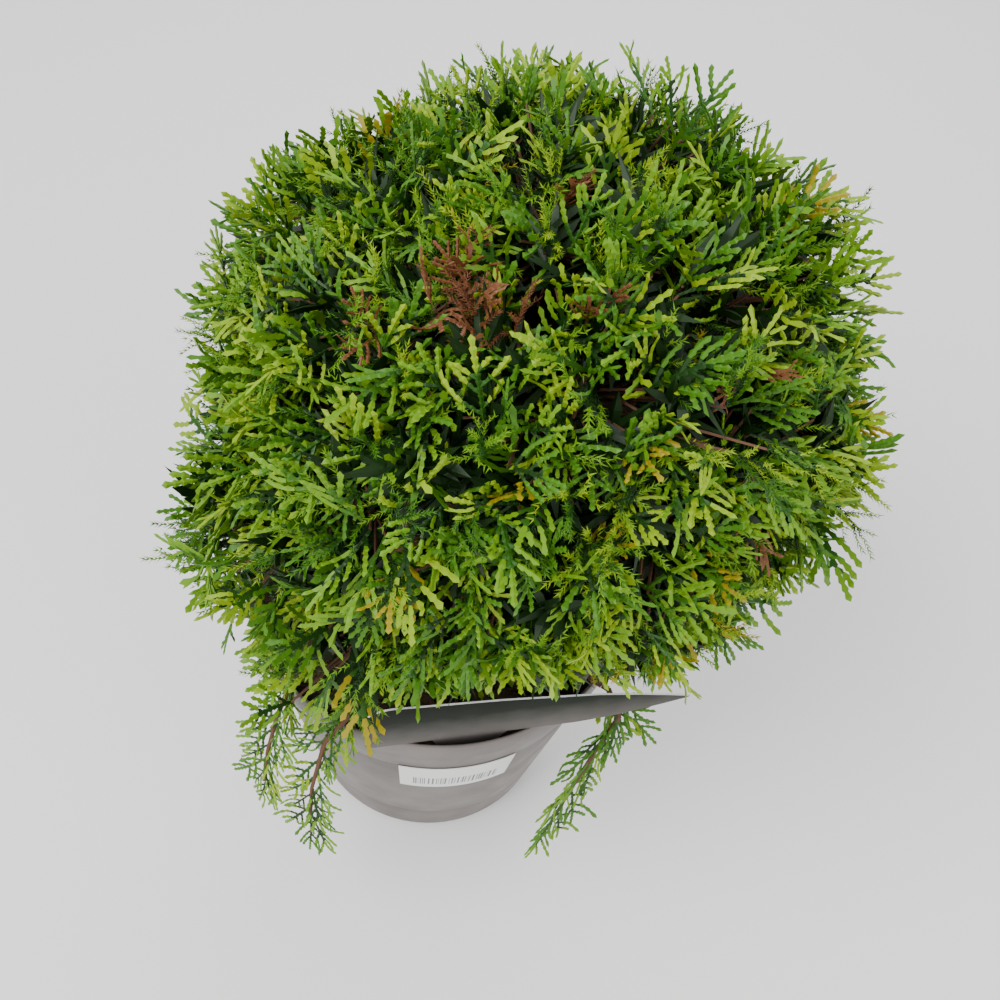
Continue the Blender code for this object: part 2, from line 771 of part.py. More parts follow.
def build_hanging_mass(name, clear, collection, finish):
    space = HangingSpace(name)
    rng = np.random.default_rng(40 + list(HANGING).index(name))
    stem = space.stems[name]
    radii = tapered(BOUGH_TIP_RADIUS, TWIG_TIP_RADIUS * 1.3, len(stem))
    shaft = limb("shaft", stem, radii, collection, None)
    pieces = [bmesh.new()]
    pieces[0].from_mesh(shaft.data)
    bpy.data.objects.remove(shaft, do_unlink=True)
    leaves = 0
    for step in range(HANGING_SPRAYS):
        share = 0.12 + 0.88 * step / (HANGING_SPRAYS - 1)
        place = share * (len(stem) - 1)
        index = min(int(place), len(stem) - 2)
        root = stem[index].lerp(stem[index + 1], place - index)
        axis = (stem[index + 1] - stem[index]).normalized()
        side = side_vector(axis, rng) * (1 if step % 2 else -1)
        last = step == HANGING_SPRAYS - 1
        heading = axis if last else (axis * 0.8 + side * 0.75).normalized()
        end = root + heading * 0.012
        leaves += grow_spray(
            pieces, root - heading * 0.0012, end, space, clear, rng, HANGING_LEAF_LENGTH
        )
    return fused(f"foliage_{name}", pieces, collection, finish), leaves


def build_plant(collection, cutters, bark, foliage):
    points, radii = trunk_line()
    limb("trunk", points, radii, collection, bark, sides=8)
    wide = [radius + GAP for radius in radii]
    longer = [points[0] - Vector((0, 0, 0.001))] + points[1:]
    cutter = limb("trunk_cutter", longer, wide, cutters, None, sides=8)
    directions = mass_directions()
    boughs = bough_lines(directions)
    for name, (line, thick) in boughs.items():
        bough = limb(f"bough_{name}", line, thick, collection, bark)
        cut(bough, cutter, "Trunk")
    limbs = dict(boughs)
    limbs["trunk"] = (points, radii)
    clear = Clearances(limbs)
    targets = {name: [] for name in directions}
    for unit in sphere_points(SPRAY_TARGETS):
        if unit.z > SPRAY_LOWEST:
            targets[max(directions, key=lambda key: directions[key].dot(unit))].append(unit)
    for name in directions:
        build_crown_mass(name, directions, targets[name], clear, collection, foliage)
    for name in HANGING:
        build_hanging_mass(name, clear, collection, foliage)


def main():
    clear_scene()
    parts = new_collection("potted_arborvitae")
    cutters = new_collection("cutters")
    plastic = material("pot plastic", (0.235, 0.205, 0.195), 0.45)
    card = material("label card", (0.20, 0.22, 0.19), 0.35)
    paper = material("sticker paper", (0.85, 0.85, 0.83), 0.55)
    soil = material("compost", (0.035, 0.022, 0.014), 0.95)
    bark = material("bark", (0.16, 0.075, 0.040), 0.85)
    foliage = material("foliage", (0.10, 0.26, 0.022), 0.60)
    build_pot(parts, cutters, plastic)
    build_compost(parts, soil)
    build_label(parts, card)
    build_sticker(parts, paper)
    build_plant(parts, cutters, bark, foliage)


main()
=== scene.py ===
"""The looks of a young globe arborvitae in its nursery pot: fine scaly sprays on
their twigs, rough bark, moulded plastic, compost, a plant label and a price sticker.

Azimuths are in degrees, 0 towards the front (-Y) and 90 towards +X.
A direction in the crown is a unit vector, and a share is a part of the crown's own reach.
"""

import json
from math import cos, degrees, exp, pi, radians, sin, sqrt, tau

import bmesh
import bpy
import numpy as np
from mathutils import Matrix, Vector

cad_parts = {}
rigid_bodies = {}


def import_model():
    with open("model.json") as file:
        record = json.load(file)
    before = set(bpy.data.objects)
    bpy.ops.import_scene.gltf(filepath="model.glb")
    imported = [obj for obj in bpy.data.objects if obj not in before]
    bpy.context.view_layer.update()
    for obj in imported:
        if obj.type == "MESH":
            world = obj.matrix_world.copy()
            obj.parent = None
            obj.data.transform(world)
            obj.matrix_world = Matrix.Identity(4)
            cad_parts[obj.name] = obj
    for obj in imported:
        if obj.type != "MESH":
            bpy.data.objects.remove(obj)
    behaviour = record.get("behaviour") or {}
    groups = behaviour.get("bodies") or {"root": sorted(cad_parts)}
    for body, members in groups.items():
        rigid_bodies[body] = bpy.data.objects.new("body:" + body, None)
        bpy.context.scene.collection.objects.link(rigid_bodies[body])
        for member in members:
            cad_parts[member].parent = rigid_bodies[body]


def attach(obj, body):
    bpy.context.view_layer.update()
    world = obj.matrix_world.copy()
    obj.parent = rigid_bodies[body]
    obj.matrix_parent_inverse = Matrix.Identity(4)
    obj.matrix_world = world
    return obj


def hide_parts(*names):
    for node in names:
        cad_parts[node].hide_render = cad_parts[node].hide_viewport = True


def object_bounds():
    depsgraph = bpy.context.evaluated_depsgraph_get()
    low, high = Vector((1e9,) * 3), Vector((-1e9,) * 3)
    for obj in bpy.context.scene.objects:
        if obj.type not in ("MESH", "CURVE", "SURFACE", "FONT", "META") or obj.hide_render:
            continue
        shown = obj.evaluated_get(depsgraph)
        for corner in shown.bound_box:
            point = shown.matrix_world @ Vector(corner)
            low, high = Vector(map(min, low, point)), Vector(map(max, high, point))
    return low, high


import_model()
cad_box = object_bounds()

UP = Vector((0, 0, 1))

# Camera
CAMERA_ELEVATION = 51.0
CAMERA_ROLL = 8.0
CAMERA_LENS = 39.6
SENSOR = 36.0
CAMERA_DISTANCE = 0.55  # to the middle of the pot's rim
RIM_MIDDLE_SEEN = (440, 572)  # where the photograph shows it, in pixels
IMAGE = 1000  # its width and its height

# Light: each lamp's place, size and power
LAMPS = {
    "key": ((-0.7, -0.6, 1.5), 0.9, 26.0),
    "fill": ((1.1, -0.7, 1.0), 1.2, 9.0),
    "back": ((0.2, 1.2, 1.2), 1.0, 9.0),
}
LAMPS_AIM = Vector((0.02, 0.0, 0.22))
SKY_STRENGTH = 0.85
FLOOR_SIZE = 4.0

# Pot, as the solids have it
POT_HEIGHT = 0.155
POT_RIM_RADIUS = 0.095
POT_WALL_TOP_RADIUS = 0.0925
POT_BASE_RADIUS = 0.0665
POT_BAND_HEIGHT = 0.0125
POT_WALL = 0.0016
POT_FLOOR = 0.0024
DRAIN_HOLES = 6
DRAIN_RADIUS = 0.0055
DRAIN_PLACE = 0.80  # of the base's radius
COMPOST_TOP = 0.1395
GAP = 0.0003

# Pot, finer than the solids
POT_STEPS = 128
LIP_STEPS = 6
SOFT_EDGE = 0.0003  # how far rings and moulded corners stand back
RING_HEIGHTS = (0.118, 0.030)
RING_HALF_WIDTH = 0.0010
# The band's lower edge: in from the rim's radius, and up from the band's foot
BAND_EDGE = [(0.0003, 0.0006), (0.0007, -0.0001), (0.0014, -0.0004), (0.0024, -0.0006)]
BAND_STEP_INSIDE = (0.0004, 0.0010)
FOOT_ROUND = 0.0030
FOOT_INSET = 0.0014
DRAIN_STEPS = 24
DRAIN_CUT = 0.012
SMOOTH_ANGLE = 35.0

# Compost and the bark chips strewn on it
COMPOST_RINGS = 30
COMPOST_STEPS = 96
COMPOST_WAVE = 0.0010
COMPOST_WAVE_PACE = (260, 240)  # in radians a metre, along X and Y
COMPOST_WAVE_START = 1.3
COMPOST_CRUMBS = 0.0016
CHIPS = 760
CHIP_SIZE = (0.0011, 0.0028)  # the least, and how much more the largest has
CHIP_SHAPE = (2.0, 1.0, 0.5)
CHIP_TILT = 0.35
CHIP_LIFT = 0.0004
CHIP_OFF_WALL = 0.006
CHIP_OFF_TRUNK = 0.015

# Label and sticker, as the solids have them
LABEL_AZIMUTH = 16.7
LABEL_DISTANCE = 0.0898
LABEL_LEAN = 10.0
LABEL_FOOT = POT_HEIGHT + 0.0006
LABEL_THICKNESS = 0.0008
LABEL_LEFT = -0.047
LABEL_HEAD_HEIGHT = 0.0505
LABEL_SHOULDER = (0.053, 0.0365)
LABEL_TIP = (0.099, 0.0180)
LABEL_CORNER = 0.011
LABEL_CORNER_STEPS = 8
LABEL_LOW_CORNER = LABEL_CORNER * 0.35
LABEL_TAB_WIDTH = 0.034
LABEL_TAB_TAPER = 0.7
LABEL_TAB_OFF_COMPOST = 0.0004
# From the tab along the lower edge, round the blunt tip, and back along the upper edge
LABEL_EDGE = [
    (0.050, 0.0), (0.066, 0.0030), (0.080, 0.0085), (0.090, 0.0130), (0.098, 0.0170), (0.099, 0.0184),
    (0.088, 0.0235), (0.072, 0.0300), LABEL_SHOULDER, (0.010, 0.0450),
]
STICKER_AZIMUTHS = (-3.5, 33.5)
STICKER_LOW = 0.0870
STICKER_HIGH = 0.1195
STICKER_THICKNESS = 0.0004
STICKER_COLUMNS = 40

# Trunk, boughs and crown, as the solids have them
TRUNK_BASE_RADIUS = 0.0078
TRUNK_FLARE = 0.0052
TRUNK_FLARE_HEIGHT = 0.008
TRUNK_TIP_RADIUS = 0.0022
TRUNK_TAPER = 0.8
TRUNK_WANDER = 0.0025
TRUNK_BENDS = 9
CROWN_CENTRE = Vector((0.030, 0.018, 0.273))
CROWN_AXES = Vector((0.146, 0.148, 0.120))
TRUNK_TOP = 0.40
BOUGH_END = 0.45
BOUGH_STRAIGHT = 0.39
BOUGH_ARCH = 0.006
BOUGH_KNEE = 0.6
BOUGH_POINTS = 8
BOUGH_STAGGER = 0.8
BOUGH_BASE_RADIUS = 0.0024
BOUGH_TIP_RADIUS = 0.0016
# Where the crown swells or draws in: azimuth, elevation, width in degrees, and gain
CROWN_LOBES = {
    "back right top": (138, 46, 22, 0.06),
    "back top": (-172, 52, 20, 0.05),
    "right shoulder": (111, 36, 12, 0.10),
    "far right spray": (73, 8, 9, 0.09),
    "left shoulder": (-86, 16, 8, 0.07),
    "left notch": (-101, 28, 6, -0.12),
    "top left tuft": (-116, 36, 9, 0.06),
    "low left tuft": (-56, -9, 9, 0.12),
    "left side": (-70, 5, 11, -0.04),
    "right dip": (86, 19, 7, -0.06),
    "front right": (49, -9, 12, -0.06),
}
# Each ring of masses: its elevation, how many, and the first one's azimuth
MASS_RINGS = {"upper": (50, 5, 18), "middle": (12, 8, 0), "lower": (-26, 8, 22)}
BOUGH_BANDS = {"upper": (0.252, 0.280), "middle": (0.212, 0.236), "lower": (0.168, 0.192)}
HANGING_STRAIGHT = 0.0035
# Each hanging sprig: its bough's places and then its stem's, as azimuth, distance, height
HANGING = {
    "left_front": (
        [(-17, 0.0, 0.150), (-17, 0.030, 0.160), (-17, 0.070, 0.1675), (-17, 0.090, 0.1660)],
        [(-21, 0.105, 0.152), (-21, 0.117, 0.128), (-20, 0.123, 0.108)],
    ),
    "left_side": (
        [(-44, 0.0, 0.158), (-42, 0.030, 0.169), (-39, 0.070, 0.1725), (-36, 0.092, 0.1680)],
        [(-34, 0.108, 0.156), (-33, 0.118, 0.136), (-32, 0.123, 0.118)],
    ),
    "right_low": (
        [(50, 0.0, 0.150), (52, 0.030, 0.157), (56, 0.075, 0.1605), (57.5, 0.099, 0.1590)],
        [(56, 0.113, 0.150), (50, 0.113, 0.136), (43, 0.116, 0.124)],
    ),
}

# Bark, finer than the solids
TRUNK_RINGS = 90
TRUNK_RING_SPACING = 1.2  # over 1, rings lie closer at the flare
TRUNK_SIDES = 28
TRUNK_RELIEF = 0.045
BOUGH_REFINED = 6
BOUGH_SIDES = 12
BOUGH_RELIEF = 0.06
STRIP_KEPT = 0.75  # of a bark strip's height, from one ring to the next
STRIP_NEW = 0.66

# Spray shapes
SPRAY_LENGTH = 0.033
SHAPES = 7
FEATHERY_SHAPES = (2, 5)
FORKS = {"scaly": 6, "feathery": 4}
FORKS_START = 0.16
FORKS_SPAN = 0.62
FORK_LEAN = (0.78, 0.22)
FORK_BEND = 0.38
CORD_HALF_WIDTH = 0.00120
CORD_HALF_THICKNESS = 0.00070
CORD_FLATNESS = 0.4  # of its thickness, that a cord's edges lie low
SCALE_LENGTH = 0.0031  # of one scale leaf along its cord
SCALE_ROOT = (0.04, 0.60)  # its place on the scale, and its width
SCALE_SHOULDER = 0.74
NEEDLE_LENGTH = 0.0030
NEEDLE_HALF_WIDTH = 0.00036
NEEDLES_AROUND = 3
BODY_PART = (0.66, 0.45)  # of the main cord and of a fork, below its bright tip

# Sprays over the crown
SPRAY_LOWEST = -0.86
# The outer, inner and deep layer: how many, share of the reach, shapes, and tilt
SPRAY_LAYERS = [(2200, 1.0, SHAPES, 42), (1150, 0.86, 1, 55), (520, 0.66, 1, 60)]
SPRAY_SIZES = (0.80, 0.36)
SPRAY_JITTER = 0.035
SPRAY_LOOSE = 0.35
SPRAY_FAN = 1.1
SPRAY_DROOP = (-0.30, -0.05)  # on the crown's sides, and on its top
SPRAY_TOP = 0.6
SPRAY_FACING = 0.45
SPRAY_SINK = 0.05
SPRAY_LIFT = 0.02
LEAN_SHARES = (0.45, 0.85)  # of the tilt, at a tuft's middle and gained towards its edge
LEAN_SPREAD = 12
LEAN_LIMITS = (6, 80)
CROWN_HALF = 0.140  # its mean half width, which turns a length into a share
TUFTS = 92
TUFT_JITTER = 0.05
TUFT_REACH = 13.0  # from a tuft's middle to its edge, in degrees
TUFT_DEPTH = 0.14  # of the crown's reach, lost between tufts
TUFT_RISE = 0.085
# Where the crown droops over the rim: azimuth, elevation, width and further reach
SKIRTS = [(-44, -34, 20, 0.24), (-18, -36, 14, 0.12), (-62, -12, 9, 0.06)]
# Where the crown stands open on its inner stems: azimuth, elevation, width and depth
HOLLOWS = [(-15, 60, 7, 0.22), (-46, 48, 5, 0.14), (57, 50, 5, 0.14), (134, 75, 5, 0.10)]
# Dead brown sprays: azimuth and elevation
DEAD_SPRAYS = [
    (-37, 69), (-32, 66), (-27, 64), (-22, 61), (-16, 58), (-8, 60), (-42, 49), (-34, 58), (15, 63),
    (4, 86), (49, 18), (58, 44), (150, 40), (-120, 20),
]
DEAD_SIZES = (0.55, 0.25)
DEAD_SHARE = 0.99

# Clearances
BOX_MARGIN = 0.005  # that a spray's tip may reach past the solids' box
BOX_STEP = 0.003
SPRAY_CLEARANCE = 0.0025
SPRAY_SPREAD = 0.006  # of a spray at its tip, for clearing the pot
SIGHT_MARGIN = 0.002
SIGHT_DROP = 0.05
SIGHT_TRIES = 7
SIGHT_STEP = 0.006
SIGHT_RISE = 0.22

# Hanging sprigs and twigs
HANGING_TAILS = {"right_low": (36, 0.120, 0.100)}  # a last place, past the solid's stem
HANGING_SPRAYS = 18
HANGING_START = 0.12
HANGING_SIZES = {"left_front": 0.56, "left_side": 0.56, "right_low": 0.70}
HANGING_SIZE_RANGE = 0.24
HANGING_SHAPES = (0, 1, 3, 4, 6)
TWIG_RADIUS = 0.0006
TWIG_KNEE = 0.55
TWIG_WANDER = 0.0025
MASS_HUB = 0.60
PIECE_FACES = 180000

# Colours, with each spray colour's share of the sprays
BODY_COLOURS = {
    "deep": ((0.009, 0.044, 0.0020), 0.34),
    "mid": ((0.022, 0.092, 0.0030), 0.42),
    "fresh": ((0.048, 0.150, 0.0040), 0.24),
}
TIP_COLOURS = {
    "green": ((0.060, 0.180, 0.0040), 0.335),
    "bright": ((0.135, 0.285, 0.0050), 0.415),
    "lime": ((0.245, 0.380, 0.0070), 0.238),
    "gold": ((0.320, 0.260, 0.0080), 0.012),
}
DEAD_COLOUR = (0.170, 0.060, 0.022)
# Inner foliage: its own deep green, made darker than any outer green, so it is partly painted shade inside
# the crown
INSIDE_GREEN_AND_SHADE = (0.006, 0.026, 0.002)
TWIG_COLOUR = (0.115, 0.050, 0.024)
POT_TAUPES = [(0.3, (0.128, 0.108, 0.1)), (0.55, (0.168, 0.144, 0.134)), (0.8, (0.205, 0.178, 0.166))]
COMPOST_BROWNS = [(0.25, (0.01, 0.006, 0.004)), (0.55, (0.04, 0.024, 0.014)), (0.8, (0.11, 0.066, 0.038))]
CHIP_BROWNS = [(0.3, (0.03, 0.016, 0.009)), (0.6, (0.105, 0.058, 0.032)), (0.85, (0.21, 0.13, 0.075))]
BARK_BROWNS = [(0.3, (0.05, 0.02, 0.01)), (0.52, (0.175, 0.075, 0.036)), (0.75, (0.33, 0.185, 0.105))]
CARD_WHITES = [(0.3, (0.74, 0.74, 0.74)), (0.7, (0.88, 0.88, 0.88))]
LABEL_FADE = [
    (0.08, (0.150, 0.136, 0.128)),
    (0.42, (0.080, 0.077, 0.070)),
    (0.72, (0.018, 0.022, 0.016)),
    (1.00, (0.008, 0.010, 0.007)),
]
STICKER_TONES = [(0.0, (0.84, 0.84, 0.82)), (1.0, (0.16, 0.16, 0.17))]
# The sticker's block of bars, in shares of its width and height
BARS_BLOCK = {"X": (0.12, 0.88), "Y": (0.16, 0.50)}


def from_azimuth(azimuth, distance, height):
    turn = radians(azimuth)
    return Vector((sin(turn) * distance, -cos(turn) * distance, height))


def direction(azimuth, elevation):
    rise = radians(elevation)
    return from_azimuth(azimuth, cos(rise), sin(rise))


def around(turn, radius, height=0.0):
    """A place on a circle, at an angle in radians from +X."""
    return Vector((cos(turn) * radius, sin(turn) * radius, height))


def clamp(value, low, high):
    return min(max(value, low), high)


def strewn(rng, spread):
    """A small random offset."""
    return Vector(rng.normal(0.0, spread, 3))


# Materials


def preset(node, values):
    for name, value in values.items():
        node.inputs[name].default_value = value
    return node


class Recipe:
    """A node material: its shader, and short ways to add nodes and join them."""

    def __init__(self, name, colour, roughness):
        self.material = bpy.data.materials.new(name)
        self.material.use_nodes = True
        self.tree = self.material.node_tree
        self.shader = self.tree.nodes["Principled BSDF"]
        preset(self.shader, {"Base Color": (*colour, 1.0), "Roughness": roughness})
        self.material.diffuse_color = (*colour, 1.0)

    def node(self, kind, inputs=None, **settings):
        made = self.tree.nodes.new(kind)
        for key, value in settings.items():
            setattr(made, key, value)
        return preset(made, inputs or {})

    def join(self, source, target):
        self.tree.links.new(source, target)

    def object_space(self, scale=(1, 1, 1)):
        place = self.node("ShaderNodeTexCoord")
        mapping = self.node("ShaderNodeMapping", {"Scale": scale})
        self.join(place.outputs["Object"], mapping.inputs["Vector"])
        return mapping.outputs["Vector"]

    def noise(self, vector, scale, detail=4.0):
        made = self.node("ShaderNodeTexNoise", {"Scale": scale, "Detail": detail})
        self.join(vector, made.inputs["Vector"])
        return made.outputs["Fac"]

    def maths(self, operation, *values):
        """A sum whose values are sockets or plain numbers."""
        made = self.node("ShaderNodeMath", operation=operation)
        for socket, value in zip(made.inputs, values):
            if isinstance(value, (int, float)):
                socket.default_value = value
            else:
                self.join(value, socket)
        return made.outputs["Value"]

    def split(self, vector):
        made = self.node("ShaderNodeSeparateXYZ")
        self.join(vector, made.inputs["Vector"])
        return made.outputs

    def ramp(self, value, stops):
        made = self.node("ShaderNodeValToRGB")
        ramp = made.color_ramp
        while len(ramp.elements) < len(stops):
            ramp.elements.new(0.5)
        for element, (place, colour) in zip(ramp.elements, stops):
            element.position = place
            element.color = (*colour, 1.0)
        self.join(value, made.inputs["Fac"])
        return made.outputs["Color"]

    def paint(self, value, stops):
        self.join(self.ramp(value, stops), self.shader.inputs["Base Color"])

    def bump(self, height, strength, distance):
        made = self.node("ShaderNodeBump", {"Strength": strength, "Distance": distance})
        self.join(height, made.inputs["Height"])
        self.join(made.outputs["Normal"], self.shader.inputs["Normal"])


def mottled(name, colour, roughness, tone, stops, grain, relief):
    """A material coloured by one noise and roughened by another."""
    recipe = Recipe(name, colour, roughness)
    space = recipe.object_space()
    recipe.paint(recipe.noise(space, *tone), stops)
    recipe.bump(recipe.noise(space, *grain), *relief)
    return recipe


def moulded_plastic():
    """Taupe nursery-pot plastic: slightly mottled, finely grained, a little dusty."""
    colour = (0.235, 0.205, 0.195)
    recipe = mottled("moulded plastic", colour, 0.46, (22, 5), POT_TAUPES, (900, 2), (0.16, 0.0003))
    dust = recipe.ramp(recipe.noise(recipe.object_space(), 60.0), [(0.3, (0.40,) * 3), (0.8, (0.60,) * 3)])
    recipe.join(dust, recipe.shader.inputs["Roughness"])
    return recipe.material


def compost_finish():
    colour = (0.035, 0.022, 0.014)
    return mottled("compost", colour, 0.95, (240, 6), COMPOST_BROWNS, (420, 5), (0.9, 0.0015)).material


def chip_finish():
    colour = (0.10, 0.055, 0.030)
    return mottled("bark chips", colour, 0.9, (130, 3), CHIP_BROWNS, (800, 3), (0.5, 0.0004)).material


def bark_finish():
    """Red-brown bark that peels in long strips along the limb."""
    recipe = Recipe("bark", (0.16, 0.075, 0.040), 0.85)
    strips = recipe.noise(recipe.object_space((1.0, 1.0, 0.16)), 620.0, 6.0)
    recipe.paint(strips, BARK_BROWNS)
    recipe.bump(strips, 0.8, 0.0008)
    return recipe.material


def twig_finish():
    return Recipe("twig bark", TWIG_COLOUR, 0.8).material


def leaf_finish(name, colour):
    """A plain satin colour, dealt out spray by spray."""
    recipe = Recipe(name, colour, 0.50)
    preset(recipe.shader, {"Specular IOR Level": 0.35})
    return recipe.material


def label_finish():
    """A printed card: dark grey-green above, fading to warm grey, with soft blotches."""
    recipe = Recipe("label print", (0.09, 0.10, 0.085), 0.60)
    preset(recipe.shader, {"Specular IOR Level": 0.03})
    space = recipe.node("ShaderNodeTexCoord").outputs["Object"]
    head = {"From Min": LABEL_FOOT, "From Max": LABEL_FOOT + LABEL_HEAD_HEIGHT}
    height = recipe.node("ShaderNodeMapRange", head)
    recipe.join(recipe.split(space)["Z"], height.inputs["Value"])
    blotches = recipe.noise(space, 95.0, 3.0)
    fade = recipe.maths("MULTIPLY_ADD", blotches, 0.22, height.outputs["Result"])
    recipe.paint(fade, LABEL_FADE)
    recipe.bump(recipe.noise(space, 1400.0, 2.0), 0.05, 0.0002)
    return recipe.material


def card_edge():
    recipe = Recipe("label core", (0.82, 0.82, 0.80), 0.5)
    recipe.paint(recipe.noise(recipe.object_space(), 300.0), CARD_WHITES)
    return recipe.material


def sticker_finish():
    """White paper with a plain block of uneven grey bars."""
    recipe = Recipe("sticker paper", (0.85, 0.85, 0.83), 0.55)
    place = recipe.split(recipe.node("ShaderNodeUVMap", uv_map="sticker").outputs["UV"])
    bars = recipe.node("ShaderNodeTexNoise", {"Scale": 52.0, "Detail": 2.0}, noise_dimensions="1D")
    recipe.join(place["X"], bars.inputs["W"])
    dark = recipe.maths("GREATER_THAN", bars.outputs["Fac"], 0.52)
    for axis, (low, high) in BARS_BLOCK.items():
        dark = recipe.maths("MULTIPLY", dark, recipe.maths("GREATER_THAN", place[axis], low))
        dark = recipe.maths("MULTIPLY", dark, recipe.maths("LESS_THAN", place[axis], high))
    recipe.paint(dark, STICKER_TONES)
    return recipe.material


# Meshes


def mesh_of(bm, name, smooth=False):
    """A mesh whose faces all look outwards."""
    bmesh.ops.recalc_face_normals(bm, faces=bm.faces)
    mesh = bpy.data.meshes.new(name)
    bm.to_mesh(mesh)
    bm.free()
    if smooth:
        mesh.shade_smooth()
    return mesh


def add_object(name, data, finish=None):
    made = bpy.data.objects.new(name, data)
    bpy.context.scene.collection.objects.link(made)
    if finish:
        data.materials.append(finish)
    return made


def piece_of(bm, name, finish=None, smooth=False):
    return add_object(name, mesh_of(bm, name, smooth), finish)


def settle(made):
    """Turns an object's modifiers into its own plain mesh."""
    graph = bpy.context.evaluated_depsgraph_get()
    mesh = bpy.data.meshes.new_from_object(made.evaluated_get(graph), depsgraph=graph)
    made.modifiers.clear()
    made.data = mesh


def dress(made, slot, *nodes):
    """Has a piece ride on the plant's one body, in place of these solids."""
    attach(made, "root")
    if nodes:
        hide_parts(*nodes)


def ring_of(bm, place, turn, radii):
    """Points around a limb, one at each radius."""
    found = []
    for side, radius in enumerate(radii):
        found.append(bm.verts.new(place + turn @ around(side * tau / len(radii), radius)))
    return found


def skin(bm, rings):
    """Walls between rings of points, with the first ring closed off."""
    for low, high in zip(rings, rings[1:]):
        for side in range(len(low)):
            nxt = (side + 1) % len(low)
            bm.faces.new((low[side], low[nxt], high[nxt], high[side]))
    bm.faces.new(rings[0][::-1])


def refined(points, count):
    """More points along a polyline, spaced evenly between its own."""
    found = []
    for a, b in zip(points, points[1:]):
        found += [a.lerp(b, step / count) for step in range(count)]
    return found + [points[-1]]


# Pot and compost


def wall_radius(height):
    """The pot's outer radius below its band."""
    share = height / (POT_HEIGHT - POT_BAND_HEIGHT)
    return POT_BASE_RADIUS + (POT_WALL_TOP_RADIUS - POT_BASE_RADIUS) * share


def pot_profile():
    """Radius and height along the pot's section, from the middle of its floor to its foot."""
    band_foot = POT_HEIGHT - POT_BAND_HEIGHT
    inner_lip = POT_RIM_RADIUS - POT_WALL
    step_in, step_up = BAND_STEP_INSIDE
    profile = [
        (0.0, POT_FLOOR),
        (wall_radius(POT_FLOOR) - POT_WALL, POT_FLOOR),
        (POT_WALL_TOP_RADIUS - POT_WALL, band_foot),
        (inner_lip - step_in, band_foot + step_up),
    ]
    half = POT_WALL / 2
    for step in range(LIP_STEPS + 1):
        turn = pi - pi * step / LIP_STEPS
        profile.append((POT_RIM_RADIUS - half + cos(turn) * half, POT_HEIGHT - half + sin(turn) * half))
    profile += [(POT_RIM_RADIUS - inwards, band_foot + upwards) for inwards, upwards in BAND_EDGE]
    for height in RING_HEIGHTS:
        over, under = height + RING_HALF_WIDTH, height - RING_HALF_WIDTH
        profile += [(wall_radius(over), over), (wall_radius(height) - SOFT_EDGE, height)]
        profile += [(wall_radius(under), under)]
    profile += [
        (wall_radius(FOOT_ROUND), FOOT_ROUND),
        (wall_radius(FOOT_ROUND * 0.4) - SOFT_EDGE, FOOT_ROUND / 3),
        (POT_BASE_RADIUS - FOOT_INSET, 0.0),
        (0.0, 0.0),
    ]
    return profile


def drain_cutter(azimuth):
    bm = bmesh.new()
    bmesh.ops.create_cone(
        bm, cap_ends=True, segments=DRAIN_STEPS, radius1=DRAIN_RADIUS, radius2=DRAIN_RADIUS, depth=DRAIN_CUT
    )
    bm.transform(Matrix.Translation(from_azimuth(azimuth, POT_BASE_RADIUS * DRAIN_PLACE, 0.0)))
    return piece_of(bm, "drain")


def build_pot(finish):
    """The pot turned from its profile, with drain holes cut through its floor."""
    profile = pot_profile()
    mesh = bpy.data.meshes.new("nursery_pot")
    mesh.from_pydata(
        [(radius, 0.0, height) for radius, height in profile],
        [(i, i + 1) for i in range(len(profile) - 1)],
        [],
    )
    pot = add_object("nursery_pot", mesh)
    turned = pot.modifiers.new("Turn", "SCREW")
    turned.axis = "Z"
    turned.steps = turned.render_steps = POT_STEPS
    turned.use_merge_vertices = True
    turned.merge_threshold = 0.00001
    cutters = [drain_cutter((number + 0.5) * 360 / DRAIN_HOLES) for number in range(DRAIN_HOLES)]
    for cutter in cutters:
        pot.modifiers.new("Drain", "BOOLEAN").object = cutter
    bpy.context.view_layer.update()
    settle(pot)
    for cutter in cutters:
        bpy.data.objects.remove(cutter, do_unlink=True)
    pot.data.shade_smooth()
    pot.data.set_sharp_from_angle(angle=radians(SMOOTH_ANGLE))
    pot.data.materials.clear()
    pot.data.materials.append(finish)
    dress(pot, "pot", "pot")


def compost_radius(height):
    return wall_radius(height) - POT_WALL - GAP


def build_compost(finish, rng):
    """The compost's rough top and its sides."""
    low = POT_FLOOR + GAP
    top_radius = compost_radius(COMPOST_TOP)
    pace_x, pace_y = COMPOST_WAVE_PACE
    bm = bmesh.new()
    middle = bm.verts.new((0, 0, COMPOST_TOP))
    rings = []
    for number in range(1, COMPOST_RINGS + 1):
        radius = top_radius * number / COMPOST_RINGS
        ring = []
        for step in range(COMPOST_STEPS):
            place = around(step * tau / COMPOST_STEPS, radius, COMPOST_TOP)
            if number < COMPOST_RINGS:
                wave = sin(place.x * pace_x + COMPOST_WAVE_START) * sin(place.y * pace_y)
                place.z += COMPOST_WAVE * wave - COMPOST_CRUMBS * rng.random()
            ring.append(bm.verts.new(place))
        rings.append(ring)
    shrink = compost_radius(low) / top_radius
    rings.append([bm.verts.new((vert.co.x * shrink, vert.co.y * shrink, low)) for vert in rings[-1]])
    foot = bm.verts.new((0, 0, low))
    for step in range(COMPOST_STEPS):
        nxt = (step + 1) % COMPOST_STEPS
        bm.faces.new((middle, rings[0][step], rings[0][nxt]))
        for inner, outer in zip(rings, rings[1:]):
            bm.faces.new((inner[step], outer[step], outer[nxt], inner[nxt]))
        bm.faces.new((foot, rings[-1][nxt], rings[-1][step]))
    dress(piece_of(bm, "compost_fill", finish, smooth=True), "compost", "compost")


